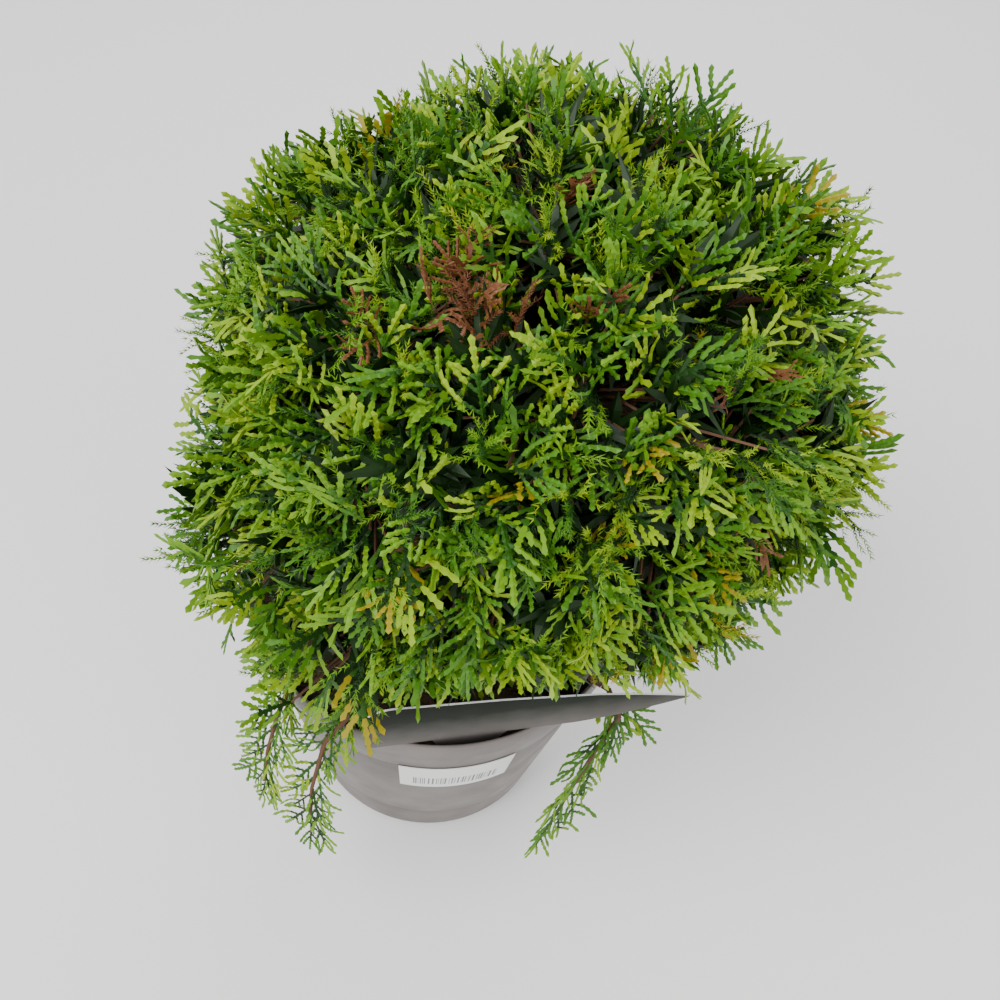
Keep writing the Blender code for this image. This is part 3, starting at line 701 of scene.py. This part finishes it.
def build_chips(finish, rng):
    """Loose bark chips strewn on the compost, off the trunk and the wall."""
    least, more = CHIP_SIZE
    bm = bmesh.new()
    for _ in range(CHIPS):
        reach = (compost_radius(COMPOST_TOP) - CHIP_OFF_WALL) * sqrt(rng.random())
        turn = rng.random() * tau
        if reach < CHIP_OFF_TRUNK:
            continue
        place = Matrix.Translation(around(turn, reach, COMPOST_TOP + CHIP_LIFT))
        spin = Matrix.Rotation(rng.random() * tau, 4, "Z")
        tilt = Matrix.Rotation(rng.normal(0, CHIP_TILT), 4, "X")
        size = least + more * rng.random() ** 2
        shape = Matrix.Diagonal([size * side for side in CHIP_SHAPE] + [1])
        bmesh.ops.create_icosphere(bm, subdivisions=1, radius=1.0, matrix=place @ spin @ tilt @ shape)
    dress(piece_of(bm, "compost_chips", finish), "compost")


# Label and sticker


def label_frame():
    """The middle of the label's foot, the ways along and up its face, and its normal."""
    outward = from_azimuth(LABEL_AZIMUTH, 1.0, 0.0)
    run = from_azimuth(LABEL_AZIMUTH + 90, 1.0, 0.0)
    lean = radians(LABEL_LEAN)
    rise = UP * cos(lean) + outward * sin(lean)
    normal = outward * cos(lean) - UP * sin(lean)
    return outward * LABEL_DISTANCE + UP * LABEL_FOOT, run, rise, normal


LABEL_ORIGIN, LABEL_RUN, LABEL_RISE, LABEL_NORMAL = label_frame()


def label_outline():
    """The card's outline, from its low left corner to the round one above it."""
    low = LABEL_LOW_CORNER
    tab = LABEL_TAB_WIDTH / 2
    tab_foot = tab * LABEL_TAB_TAPER
    drop = (LABEL_FOOT - COMPOST_TOP - GAP - LABEL_TAB_OFF_COMPOST) / cos(radians(LABEL_LEAN))
    points = [(LABEL_LEFT, low), (LABEL_LEFT + low * 0.3, low * 0.3), (LABEL_LEFT + low, 0.0)]
    points += [(-tab, 0.0), (-tab_foot, -drop), (tab_foot, -drop), (tab, 0.0), *LABEL_EDGE]
    for step in range(LABEL_CORNER_STEPS + 1):
        turn = radians(90 + 90 * step / LABEL_CORNER_STEPS)
        across = LABEL_LEFT + LABEL_CORNER * (1 + cos(turn))
        above = LABEL_HEAD_HEIGHT - LABEL_CORNER * (1 - sin(turn))
        points.append((across, above))
    return points


def build_label(print_finish, edge_finish):
    """The label card: printed faces with a white core along its cut edge."""
    places = [LABEL_ORIGIN + LABEL_RUN * along + LABEL_RISE * above for along, above in label_outline()]
    half = LABEL_NORMAL * LABEL_THICKNESS / 2
    bm = bmesh.new()
    front = [bm.verts.new(place + half) for place in places]
    back = [bm.verts.new(place - half) for place in places]
    bm.faces.new(front)
    bm.faces.new(back[::-1])
    for i in range(len(places)):
        bm.faces.new((front[i - 1], back[i - 1], back[i], front[i]))
    label = piece_of(bm, "label_card", print_finish)
    label.data.materials.append(edge_finish)
    for face in label.data.polygons:
        face.material_index = int(abs(face.normal.dot(LABEL_NORMAL)) < 0.5)
    dress(label, "label", "plant_label")


def build_sticker(finish):
    """The sticker, bent round the pot's wall, with a UV map over its width and height."""
    first, last = STICKER_AZIMUTHS
    bm = bmesh.new()
    layer = bm.loops.layers.uv.new("sticker")
    columns = []
    places = {}
    for column in range(STICKER_COLUMNS + 1):
        share = column / STICKER_COLUMNS
        corners = []
        for top, face in ((0, 0), (0, 1), (1, 1), (1, 0)):
            height = STICKER_LOW + top * (STICKER_HIGH - STICKER_LOW)
            radius = wall_radius(height) + GAP + face * STICKER_THICKNESS
            corners.append(bm.verts.new(from_azimuth(first + (last - first) * share, radius, height)))
            places[corners[-1]] = (share, top)
        columns.append(corners)
    skin(bm, columns)
    bm.faces.new(columns[-1])
    for face in bm.faces:
        for loop in face.loops:
            loop[layer].uv = places[loop.vert]
    dress(piece_of(bm, "price_label", finish), "sticker", "price_sticker")


# Crown


def swell(unit, lobes):
    """How far these lobes push the crown out in a direction."""
    total = 0.0
    for azimuth, elevation, width, gain in lobes:
        off = degrees(unit.angle(direction(azimuth, elevation)))
        total += gain * exp(-((off / width) ** 2))
    return total


def crown_reach(unit):
    """The crown's reach as the solids have it."""
    return 1.0 + swell(unit, CROWN_LOBES.values())


def seen_reach(unit):
    """The reach as the sprays take it: less where it stands open, more where it droops."""
    return crown_reach(unit) - swell(unit, HOLLOWS) + swell(unit, SKIRTS)


def in_crown(unit, share):
    return CROWN_CENTRE + Vector([part * axis for part, axis in zip(unit, CROWN_AXES)]) * share


def crown_normal(unit):
    return Vector([part / axis for part, axis in zip(unit, CROWN_AXES)]).normalized()


def mass_directions():
    found = {"top": UP}
    for ring, (elevation, count, first) in MASS_RINGS.items():
        for number in range(count):
            found[f"{ring}_{number + 1}"] = direction(first + number * 360 / count, elevation)
    return found


def sphere_points(count):
    """Directions spread evenly over a sphere."""
    golden = pi * (3 - sqrt(5))
    for number in range(count):
        height = 1 - 2 * (number + 0.5) / count
        flat = sqrt(1 - height * height)
        yield around(golden * number, flat, height)


# Trunk and boughs


def trunk_rise(height):
    """How far up the trunk a height lies, from 0 to 1."""
    return (height - COMPOST_TOP) / (in_crown(UP, TRUNK_TOP).z - COMPOST_TOP)


def trunk_point(height):
    top = in_crown(UP, TRUNK_TOP)
    rise = trunk_rise(height)
    sway = rise * rise * (3 - 2 * rise)
    wander = TRUNK_WANDER * sin(rise * TRUNK_BENDS)
    return Vector((top.x * sway + wander * rise, top.y * sway - wander * rise, height))


def trunk_radius(height):
    flare = TRUNK_FLARE * exp(-(height - COMPOST_TOP) / TRUNK_FLARE_HEIGHT)
    taper = trunk_rise(height) ** TRUNK_TAPER
    return TRUNK_BASE_RADIUS + (TRUNK_TIP_RADIUS - TRUNK_BASE_RADIUS) * taper + flare


def bent(start, middle, end, count):
    steps = [i / (count - 1) for i in range(count)]
    return [(1 - t) ** 2 * start + 2 * t * (1 - t) * middle + t * t * end for t in steps]


def bough_lines(directions):
    """Each bough's line, from inside the trunk to its tip."""
    lines = {}
    for ring, (low, high) in BOUGH_BANDS.items():
        count = MASS_RINGS[ring][1]
        for number in range(count):
            name = f"{ring}_{number + 1}"
            stagger = (number % 2) * BOUGH_STAGGER + (1 - BOUGH_STAGGER) * number / count
            start = trunk_point(low + (high - low) * stagger)
            turned_out = in_crown(directions[name], BOUGH_STRAIGHT)
            middle = start.lerp(turned_out, BOUGH_KNEE) + UP * BOUGH_ARCH
            lines[name] = bent(start, middle, turned_out, BOUGH_POINTS)
            lines[name].append(in_crown(directions[name], BOUGH_END))
    for name, (path, _) in HANGING.items():
        lines[name] = [trunk_point(path[0][2])] + [from_azimuth(*place) for place in path[1:]]
    return lines


def barked_limb(bm, points, radii, sides, relief, rng):
    """A closed tapering limb whose skin stands up in lengthwise strips."""
    rings = []
    strips = [rng.normal(0.0, 1.0) for _ in range(sides)]
    for index, (point, radius) in enumerate(zip(points, radii)):
        before = points[max(index - 1, 0)]
        after = points[min(index + 1, len(points) - 1)]
        turn = (after - before).to_track_quat("Z", "Y").to_matrix()
        strips = [strip * STRIP_KEPT + rng.normal(0.0, STRIP_NEW) for strip in strips]
        rings.append(ring_of(bm, point, turn, [radius * (1 + relief * strip) for strip in strips]))
    skin(bm, rings)
    bm.faces.new(rings[-1])


def build_limbs(finish, boughs):
    """The trunk and all boughs, each set with bark relief, as two pieces."""
    rng = np.random.default_rng(21)
    low = COMPOST_TOP + GAP
    high = in_crown(UP, TRUNK_TOP).z
    steps = [(step / TRUNK_RINGS) ** TRUNK_RING_SPACING for step in range(TRUNK_RINGS + 1)]
    heights = [low + (high - low) * step for step in steps]
    radii = [trunk_radius(height) for height in heights]
    bm = bmesh.new()
    barked_limb(bm, [trunk_point(height) for height in heights], radii, TRUNK_SIDES, TRUNK_RELIEF, rng)
    dress(piece_of(bm, "trunk_bark", finish, smooth=True), "bark", "trunk")
    bm = bmesh.new()
    for line in boughs.values():
        fine = refined(line, BOUGH_REFINED)
        taper = (BOUGH_TIP_RADIUS - BOUGH_BASE_RADIUS) / (len(fine) - 1)
        radii = [BOUGH_BASE_RADIUS + taper * i for i in range(len(fine))]
        barked_limb(bm, fine, radii, BOUGH_SIDES, BOUGH_RELIEF, rng)
    nodes = [f"bough_{name}" for name in boughs]
    dress(piece_of(bm, "bough_bark", finish, smooth=True), "bark", *nodes)


# The photograph's point of view


def view_frame():
    """The camera's place, and its axes as the columns of a matrix."""
    tilt = radians(CAMERA_ELEVATION)
    roll = radians(CAMERA_ROLL)
    back = Vector((0, -cos(tilt), sin(tilt)))
    level = Vector((1, 0, 0))
    upright = back.cross(level)
    right = level * cos(roll) + upright * sin(roll)
    up = upright * cos(roll) - level * sin(roll)
    focal = CAMERA_LENS / SENSOR * IMAGE
    across = (RIM_MIDDLE_SEEN[0] - IMAGE / 2) / focal
    above = -(RIM_MIDDLE_SEEN[1] - IMAGE / 2) / focal
    towards = (right * across + up * above - back).normalized()
    place = UP * POT_HEIGHT - towards * CAMERA_DISTANCE
    return place, Matrix((right, up, back)).transposed()


CAMERA_PLACE, CAMERA_TURN = view_frame()


# Clearances of the sprays


def off_pot(point, reach):
    out = point.xy.length
    if point.z > POT_HEIGHT + reach:
        return True
    if point.z > POT_HEIGHT - POT_BAND_HEIGHT - reach:
        return out > POT_RIM_RADIUS + reach
    return out > wall_radius(max(point.z, 0.0)) + reach


def label_span(along):
    """The heights of the label's lower and upper edge at a place along it."""
    share = clamp((along - LABEL_SHOULDER[0]) / (LABEL_TIP[0] - LABEL_SHOULDER[0]), 0.0, 1.0)
    low = LABEL_TIP[1] * share ** 1.4
    return low, LABEL_HEAD_HEIGHT + (LABEL_TIP[1] - LABEL_HEAD_HEIGHT) * share


def off_label(point, reach):
    off = point - LABEL_ORIGIN
    along, above, depth = (off.dot(axis) for axis in (LABEL_RUN, LABEL_RISE, LABEL_NORMAL))
    if abs(depth) > reach or not LABEL_LEFT - reach < along < LABEL_TIP[0] + reach:
        return True
    low, high = label_span(along)
    return above < low - reach or above > high + reach


def hides_label(point):
    """Whether a point stands between the photographer and the label's face."""
    off = point - LABEL_ORIGIN
    sight = CAMERA_PLACE - point
    depth = off.dot(LABEL_NORMAL)
    facing = sight.dot(LABEL_NORMAL)
    if depth <= 0 or facing <= 0:
        return False
    seen = off - sight * (depth / facing)
    along = seen.dot(LABEL_RUN)
    if not LABEL_LEFT - SIGHT_MARGIN < along < LABEL_TIP[0]:
        return False
    return -SIGHT_DROP < seen.dot(LABEL_RISE) < label_span(along)[1] - SIGHT_MARGIN


def drawn_back(place, heading, length, outward):
    """A spray's root and heading once it shows the label, or nothing if it can't."""
    for _ in range(SIGHT_TRIES):
        if not hides_label(place) and not hides_label(place + heading * length):
            return place, heading
        place = place - outward * SIGHT_STEP
        heading = (heading + UP * SIGHT_RISE).normalized()
    return None


def clear_of_pot(start, end, spread):
    """Whether a spray from start to end stays off the pot and the label."""
    for share in (0.0, 0.25, 0.5, 0.75, 1.0):
        place, reach = start.lerp(end, share), SPRAY_CLEARANCE + spread * share
        if not (off_pot(place, reach) and off_label(place, reach)):
            return False
    return True


def past_box(point):
    """Whether a point lies further out than the solids' box and its margin."""
    low, high = cad_box
    return any(
        point[axis] < low[axis] - BOX_MARGIN or point[axis] > high[axis] + BOX_MARGIN for axis in range(3)
    )


# Spray shapes, grown along +Z with their broad side in the XZ plane

THROUGH = Vector((0.0, 1.0, 0.0))


def cord_line(root, lean, bend, length):
    """Points a scale apart along a cord that curves in the spray's plane."""
    count = max(int(round(length / SCALE_LENGTH)), 2)
    points = [root]
    angle = lean
    for _ in range(count):
        angle += bend / count
        points.append(points[-1] + Vector((sin(angle), 0.0, cos(angle))) * (length / count))
    return points


def scaly_cord(bm, points, rng, start_width, end_width, lift):
    """A flattened cord of overlapping scale leaves, blunt at its tip."""
    rings = []
    count = len(points) - 1
    for index in range(count):
        start, end = points[index], points[index + 1]
        axis = (end - start).normalized()
        side = Vector((axis.z, 0.0, -axis.x))
        width = start_width + (end_width - start_width) * index / count
        for share, spread in (SCALE_ROOT, (SCALE_SHOULDER, 1.0 + 0.16 * rng.random())):
            centre = start.lerp(end, share) + THROUGH * lift * ((index + share) / count) ** 2
            half = side * (CORD_HALF_WIDTH * width * spread)
            thick = THROUGH * (CORD_HALF_THICKNESS * width * (0.7 + 0.3 * spread))
            low = thick * CORD_FLATNESS
            corners = (centre + half - low, centre + thick, centre - half - low)
            rings.append([bm.verts.new(corner) for corner in corners])
    tip = bm.verts.new(points[-1] + (points[-1] - points[-2]) * 0.25 + THROUGH * lift)
    skin(bm, rings)
    last = rings[-1]
    for side in range(len(last)):
        bm.faces.new((last[side], last[(side + 1) % len(last)], tip))


def add_needle(bm, centre, axis, across, longer):
    flat = axis.cross(across).normalized() * NEEDLE_HALF_WIDTH
    root = [
        bm.verts.new(centre - flat),
        bm.verts.new(centre + flat),
        bm.verts.new(centre + axis * 0.0006 + across * 0.0002),
    ]
    tip = bm.verts.new(centre + (axis * 0.80 + across * 0.62) * NEEDLE_LENGTH * longer)
    bm.faces.new(root)
    for a, b in ((0, 1), (1, 2), (2, 0)):
        bm.faces.new((root[b], root[a], tip))


def needle_cord(bm, points, rng, lift):
    """A slim shoot that short needles stand out of on all sides."""
    count = len(points) - 1
    for whorl in range(2 * count):
        index, half = divmod(whorl, 2)
        axis = (points[index + 1] - points[index]).normalized()
        side = Vector((axis.z, 0.0, -axis.x))
        centre = points[index].lerp(points[index + 1], half / 2)
        centre = centre + THROUGH * (lift * ((index + half / 2) / count) ** 2)
        for number in range(NEEDLES_AROUND):
            turn = whorl * 1.1 + number * tau / NEEDLES_AROUND + rng.normal(0, 0.2)
            across = side * cos(turn) + THROUGH * sin(turn)
            add_needle(bm, centre, axis, across, 0.85 + 0.3 * rng.random())


def spray_cords(rng, forks):
    """The cords of one fan: a main one and others that fork off to each side in turn."""
    main = cord_line(Vector((0, 0, 0)), 0.0, rng.normal(0.0, 0.25), SPRAY_LENGTH)
    cords = [(main, rng.normal(0.0, 0.002))]
    side = 1 if rng.random() < 0.5 else -1
    for number in range(forks):
        share = FORKS_START + FORKS_SPAN * number / forks
        root = main[min(int(share * (len(main) - 1)), len(main) - 2)]
        length = SPRAY_LENGTH * (0.60 - 0.42 * share) * (0.80 + 0.4 * rng.random())
        lean = side * (FORK_LEAN[0] + FORK_LEAN[1] * rng.random())
        cords.append((cord_line(root, lean, -side * FORK_BEND, length), rng.normal(0.0, 0.0035)))
        side = -side
    return cords


def shape_mesh(bm, name):
    bmesh.ops.triangulate(bm, faces=bm.faces)
    return mesh_of(bm, name)


def make_shapes():
    """Each spray shape's green body and its bright tips, as two lists of meshes."""
    bodies = []
    tips = []
    for number in range(SHAPES):
        rng = np.random.default_rng(300 + number)
        kind = "feathery" if number in FEATHERY_SHAPES else "scaly"
        body = bmesh.new()
        tip = bmesh.new()
        for order, (line, lift) in enumerate(spray_cords(rng, FORKS[kind])):
            split = max(1, int((len(line) - 1) * BODY_PART[min(order, 1)]))
            inner, outer = line[: split + 1], line[split:]
            if kind == "feathery":
                needle_cord(body, inner, rng, 0.0)
                needle_cord(tip, outer, rng, lift)
            else:
                scaly_cord(body, inner, rng, 0.80, 0.95, 0.0)
                scaly_cord(tip, outer, rng, 0.98, 0.86 + 0.25 * rng.random(), lift)
        bodies.append(shape_mesh(body, f"shape_body_{number}"))
        tips.append(shape_mesh(tip, f"shape_tips_{number}"))
    return bodies, tips


def plain_shape():
    """A spray of few faces for the dense inside, where little light falls."""
    rng = np.random.default_rng(77)
    bm = bmesh.new()
    for line, lift in spray_cords(rng, FORKS["scaly"]):
        scaly_cord(bm, [line[0], line[-1]], rng, 2.0, 1.8, lift)
    return shape_mesh(bm, "shape_plain")


# Where the sprays stand


def spray_turn(heading, facing):
    """The Euler angles that lay a spray's length on heading and its broad side to facing."""
    heading = heading.normalized()
    through = (facing - heading * facing.dot(heading)).normalized()
    side = through.cross(heading)
    return Matrix((side, through, heading)).transposed().to_euler()


def spray(place, heading, facing, size, shape, unit=None):
    """One spray: its root and turn, its size, its shape, and its direction in the crown."""
    turn = spray_turn(heading, facing)
    return {"place": place, "turn": turn, "size": size, "shape": int(shape), "unit": unit}


def tuft_middles():
    """Each tuft's direction and how far it stands up, from -0.4 to 1."""
    rng = np.random.default_rng(5)
    middles = [(unit + strewn(rng, TUFT_JITTER)).normalized() for unit in sphere_points(TUFTS)]
    return [(middle, -0.4 + 1.4 * rng.random()) for middle in middles]


def crown_sprays(seed, count, depth, shapes, tilt):
    """Sprays over the crown, each fanning out from the middle of the tuft it belongs to."""
    rng = np.random.default_rng(seed)
    tufts = tuft_middles()
    found = []
    for unit in sphere_points(count):
        if unit.z < SPRAY_LOWEST:
            continue
        unit = (unit + strewn(rng, SPRAY_JITTER)).normalized()
        outward = crown_normal(unit)
        middle, rise = max(tufts, key=lambda tuft: tuft[0].dot(unit))
        apart = min(degrees(unit.angle(middle)) / TUFT_REACH, 1.0)
        mound = 1 - apart ** 2
        droop = UP * SPRAY_DROOP[int(unit.z >= SPRAY_TOP)]
        loose = strewn(rng, SPRAY_LOOSE) + droop + (unit - middle).normalized() * SPRAY_FAN
        loose = (loose - outward * loose.dot(outward)).normalized()
        lean = rng.normal(tilt * (LEAN_SHARES[0] + LEAN_SHARES[1] * apart), LEAN_SPREAD)
        lean = radians(clamp(lean, *LEAN_LIMITS))
        heading = (outward * cos(lean) + loose * sin(lean)).normalized()
        size = SPRAY_SIZES[0] + SPRAY_SIZES[1] * rng.random()
        length = SPRAY_LENGTH * size
        reach = seen_reach(unit) * depth + TUFT_RISE * rise * mound - TUFT_DEPTH * (1 - mound)
        share = reach - length * cos(lean) / CROWN_HALF - SPRAY_SINK * rng.random() + SPRAY_LIFT
        shown = drawn_back(in_crown(unit, share), heading, length, outward)
        if not shown:
            continue
        place, heading = shown
        while past_box(place + heading * length):
            place = place - outward * BOX_STEP
        if clear_of_pot(place, place + heading * length, SPRAY_SPREAD):
            facing = outward + strewn(rng, SPRAY_FACING)
            found.append(spray(place, heading, facing, size, rng.integers(shapes), unit))
    return found


def dead_sprays():
    """Small brown sprays where the crown has died back."""
    rng = np.random.default_rng(14)
    found = []
    for unit in [direction(*place) for place in DEAD_SPRAYS]:
        for _ in range(2):
            heading = (unit + strewn(rng, 0.5)).normalized()
            size = DEAD_SIZES[0] + DEAD_SIZES[1] * rng.random()
            share = crown_reach(unit) * DEAD_SHARE - SPRAY_LENGTH * size / CROWN_HALF
            facing = unit + strewn(rng, 0.4)
            found.append(spray(in_crown(unit, share), heading, facing, size, rng.integers(SHAPES), unit))
    return found


def hanging_stem(name):
    """The line of a hanging sprig, from the tip of its bough."""
    path, stem = HANGING[name]
    before, tip = (from_azimuth(*place) for place in path[-2:])
    onward = (tip - before).normalized()
    line = [tip + onward * GAP, tip + onward * HANGING_STRAIGHT] + [from_azimuth(*place) for place in stem]
    if name in HANGING_TAILS:
        line.append(from_azimuth(*HANGING_TAILS[name]))
    return line


def hanging_sprays(stems):
    """Sprays on both sides of each sprig that hangs over the rim, and one at its tip."""
    found = []
    for seed, (name, stem) in enumerate(stems.items(), start=60):
        rng = np.random.default_rng(seed)
        outward = Vector((stem[-1].x, stem[-1].y, 0.0)).normalized()
        for step in range(HANGING_SPRAYS):
            share = HANGING_START + (1 - HANGING_START) * step / (HANGING_SPRAYS - 1)
            spot = share * (len(stem) - 1)
            index = min(int(spot), len(stem) - 2)
            place = stem[index].lerp(stem[index + 1], spot - index)
            axis = (stem[index + 1] - stem[index]).normalized()
            side = axis.cross(outward).normalized() * (1 if step % 2 else -1)
            heading = axis
            if step < HANGING_SPRAYS - 1:
                heading = axis * 0.9 + side * 0.7 + outward * 0.15 - UP * 0.25
            heading = (heading + strewn(rng, 0.10)).normalized()
            size = HANGING_SIZES[name] + HANGING_SIZE_RANGE * rng.random()
            if clear_of_pot(place + heading * SPRAY_SPREAD, place + heading * SPRAY_LENGTH * size, 0.0):
                facing = outward + strewn(rng, 0.2)
                found.append(spray(place, heading, facing, size, rng.choice(HANGING_SHAPES)))
    return found


# Scattering

# What each spray's point carries: the kind of value, and what Blender calls it
POINT_DATA = {"turn": ("FLOAT_VECTOR", "vector"), "size": ("FLOAT", "value"), "shape": ("INT", "value")}


def scatter_tree(name, shapes, finish):
    """Nodes that set a shape on each point by its attributes, and make the result real.

    Its input Size makes every spray larger or smaller.
    """
    tree = bpy.data.node_groups.new(name, "GeometryNodeTree")
    tree.interface.new_socket("Geometry", in_out="INPUT", socket_type="NodeSocketGeometry")
    size = tree.interface.new_socket("Size", in_out="INPUT", socket_type="NodeSocketFloat")
    size.default_value = 1.0
    tree.interface.new_socket("Geometry", in_out="OUTPUT", socket_type="NodeSocketGeometry")
    new = tree.nodes.new
    link = tree.links.new
    entry = new("NodeGroupInput")
    leave = new("NodeGroupOutput")
    picks = new("GeometryNodeCollectionInfo")
    preset(picks, {"Collection": shapes, "Separate Children": True, "Reset Children": True})
    placed = preset(new("GeometryNodeInstanceOnPoints"), {"Pick Instance": True})
    sources = {}
    for key, (kind, _) in POINT_DATA.items():
        read = preset(new("GeometryNodeInputNamedAttribute"), {"Name": key})
        read.data_type = kind
        sources[key] = next(socket for socket in read.outputs if socket.enabled)
    scale = new("ShaderNodeMath")
    scale.operation = "MULTIPLY"
    real = new("GeometryNodeRealizeInstances")
    paint = preset(new("GeometryNodeSetMaterial"), {"Material": finish})
    link(entry.outputs["Geometry"], placed.inputs["Points"])
    link(picks.outputs["Instances"], placed.inputs["Instance"])
    link(sources["shape"], placed.inputs["Instance Index"])
    link(sources["turn"], placed.inputs["Rotation"])
    link(sources["size"], scale.inputs[0])
    link(entry.outputs["Size"], scale.inputs[1])
    link(scale.outputs["Value"], placed.inputs["Scale"])
    link(placed.outputs["Instances"], real.inputs["Geometry"])
    link(real.outputs["Geometry"], paint.inputs["Geometry"])
    link(paint.outputs["Geometry"], leave.inputs["Geometry"])
    return tree


def batches_of(sprays, faces):
    """The sprays in batches that each stay under the limit of faces for a piece."""
    batches = [[]]
    total = 0
    for one in sprays:
        total += faces[one["shape"]]
        if total > PIECE_FACES:
            batches.append([])
            total = faces[one["shape"]]
        batches[-1].append(one)
    return batches


def points_mesh(name, sprays):
    """A point for each spray, which carries its turn, size and shape."""
    mesh = bpy.data.meshes.new(name)
    mesh.from_pydata([one["place"] for one in sprays], [], [])
    for key, (kind, called) in POINT_DATA.items():
        data = mesh.attributes.new(key, kind, "POINT").data
        data.foreach_set(called, np.ravel([one[key] for one in sprays]).tolist())
    return mesh


def scatter(name, sprays, meshes, finish, nodes):
    """One joined piece, or a few, of every spray in the list."""
    shapes = bpy.data.collections.new(f"{name}_shapes")
    for number, mesh in enumerate(meshes):
        shapes.objects.link(bpy.data.objects.new(f"{name}_{number}", mesh))
    tree = scatter_tree(f"{name} scatter", shapes, finish)
    batches = batches_of(sprays, [len(mesh.polygons) for mesh in meshes])
    for number, batch in enumerate(batches, start=1):
        piece = add_object(f"{name}_{number}", points_mesh(f"{name}_points", batch))
        piece.modifiers.new("Sprays", "NODES").node_group = tree
        bpy.context.view_layer.update()
        settle(piece)
        dress(piece, "foliage", *nodes)
    for helper in list(shapes.objects):
        bpy.data.objects.remove(helper, do_unlink=True)
    bpy.data.collections.remove(shapes)


def deal_out(name, sprays, colours, meshes, nodes, seed):
    """Deals the sprays out among colours by each one's share, and scatters each lot."""
    rng = np.random.default_rng(seed)
    shares = np.array([share for _, share in colours.values()])
    picks = rng.choice(len(shares), size=len(sprays), p=shares / shares.sum())
    for kind, (shade, (colour, _)) in enumerate(colours.items()):
        lot = [one for one, pick in zip(sprays, picks) if pick == kind]
        scatter(f"{name}_{shade}", lot, meshes, leaf_finish(f"{name} {shade}", colour), nodes)


# Twigs


def add_tube(bm, start, end, base, tip, sides=4):
    turn = (end - start).to_track_quat("Z", "Y").to_matrix()
    rings = [ring_of(bm, start, turn, [base] * sides), ring_of(bm, end, turn, [tip] * sides)]
    skin(bm, rings)
    bm.faces.new(rings[-1])


def build_twigs(finish, directions, sprays, stems, nodes):
    """Each mass's stem, and a bent twig from it to the root of every spray."""
    rng = np.random.default_rng(8)
    bm = bmesh.new()
    hubs = {name: in_crown(unit, MASS_HUB) for name, unit in directions.items()}
    for name, hub in hubs.items():
        start = in_crown(directions[name], TRUNK_TOP if name == "top" else BOUGH_END)
        start = start + (hub - start).normalized() * GAP
        add_tube(bm, start, hub, BOUGH_TIP_RADIUS, BOUGH_TIP_RADIUS * 0.8, 8)
    for one in sprays:
        hub = hubs[max(directions, key=lambda name: directions[name].dot(one["unit"]))]
        knee = hub.lerp(one["place"], TWIG_KNEE) + strewn(rng, TWIG_WANDER)
        add_tube(bm, hub, knee, TWIG_RADIUS * 1.6, TWIG_RADIUS * 1.1)
        add_tube(bm, knee, one["place"], TWIG_RADIUS * 1.1, TWIG_RADIUS)
    for stem in stems.values():
        fine = refined(stem, 4)
        for number, (a, b) in enumerate(zip(fine, fine[1:])):
            thick = BOUGH_TIP_RADIUS * (1 - 0.6 * number / len(fine))
            add_tube(bm, a, b, thick, thick * 0.95, 8)
    dress(piece_of(bm, "twigs", finish), "bark", *nodes)


def build_foliage():
    """The limbs, and on them every spray, dealt out by colour, and its twig."""
    directions = mass_directions()
    build_limbs(bark_finish(), bough_lines(directions))
    nodes = [f"foliage_{name}" for name in [*directions, *HANGING]]
    stems = {name: hanging_stem(name) for name in HANGING}
    bodies, tips = make_shapes()
    outer, inner, deep = (crown_sprays(seed, *layer) for seed, layer in enumerate(SPRAY_LAYERS, start=1))
    inner += deep
    green = outer + hanging_sprays(stems)
    dead = dead_sprays()
    deal_out("sprays", green, BODY_COLOURS, bodies, nodes, 31)
    deal_out("tips", green, TIP_COLOURS, tips, nodes, 32)
    withered = leaf_finish("dead foliage", DEAD_COLOUR)
    scatter("dead_sprays", dead, bodies, withered, nodes)
    scatter("dead_tips", dead, tips, withered, nodes)
    # The inner sprays' colour carries painted shade as well as their own deep green
    scatter("sprays_inside", inner, [plain_shape()], leaf_finish("foliage inside painted shade", INSIDE_GREEN_AND_SHADE), nodes)
    build_twigs(twig_finish(), directions, outer + inner + dead, stems, nodes)


# Camera, floor and light


def build_camera():
    data = bpy.data.cameras.new("camera")
    data.lens = CAMERA_LENS
    data.sensor_width = SENSOR
    camera = add_object("camera", data)
    camera.matrix_world = Matrix.Translation(CAMERA_PLACE) @ CAMERA_TURN.to_4x4()
    bpy.context.scene.camera = camera


def build_floor():
    bm = bmesh.new()
    bmesh.ops.create_grid(bm, x_segments=1, y_segments=1, size=FLOOR_SIZE)
    finish = Recipe("studio floor", (0.90, 0.90, 0.90), 0.9).material
    piece_of(bm, "floor", finish)


def build_lights():
    world = bpy.data.worlds.new("studio")
    world.use_nodes = True
    preset(world.node_tree.nodes["Background"], {"Color": (1.0,) * 4, "Strength": SKY_STRENGTH})
    bpy.context.scene.world = world
    for name, (place, size, power) in LAMPS.items():
        data = bpy.data.lights.new(name, "AREA")
        data.size = size
        data.energy = power
        lamp = add_object(name, data)
        lamp.location = place
        lamp.rotation_euler = (LAMPS_AIM - Vector(place)).to_track_quat("-Z", "Y").to_euler()


def main():
    build_camera()
    build_floor()
    build_lights()
    build_pot(moulded_plastic())
    rng = np.random.default_rng(11)
    build_compost(compost_finish(), rng)
    build_chips(chip_finish(), rng)
    build_label(label_finish(), card_edge())
    build_sticker(sticker_finish())
    build_foliage()


main()
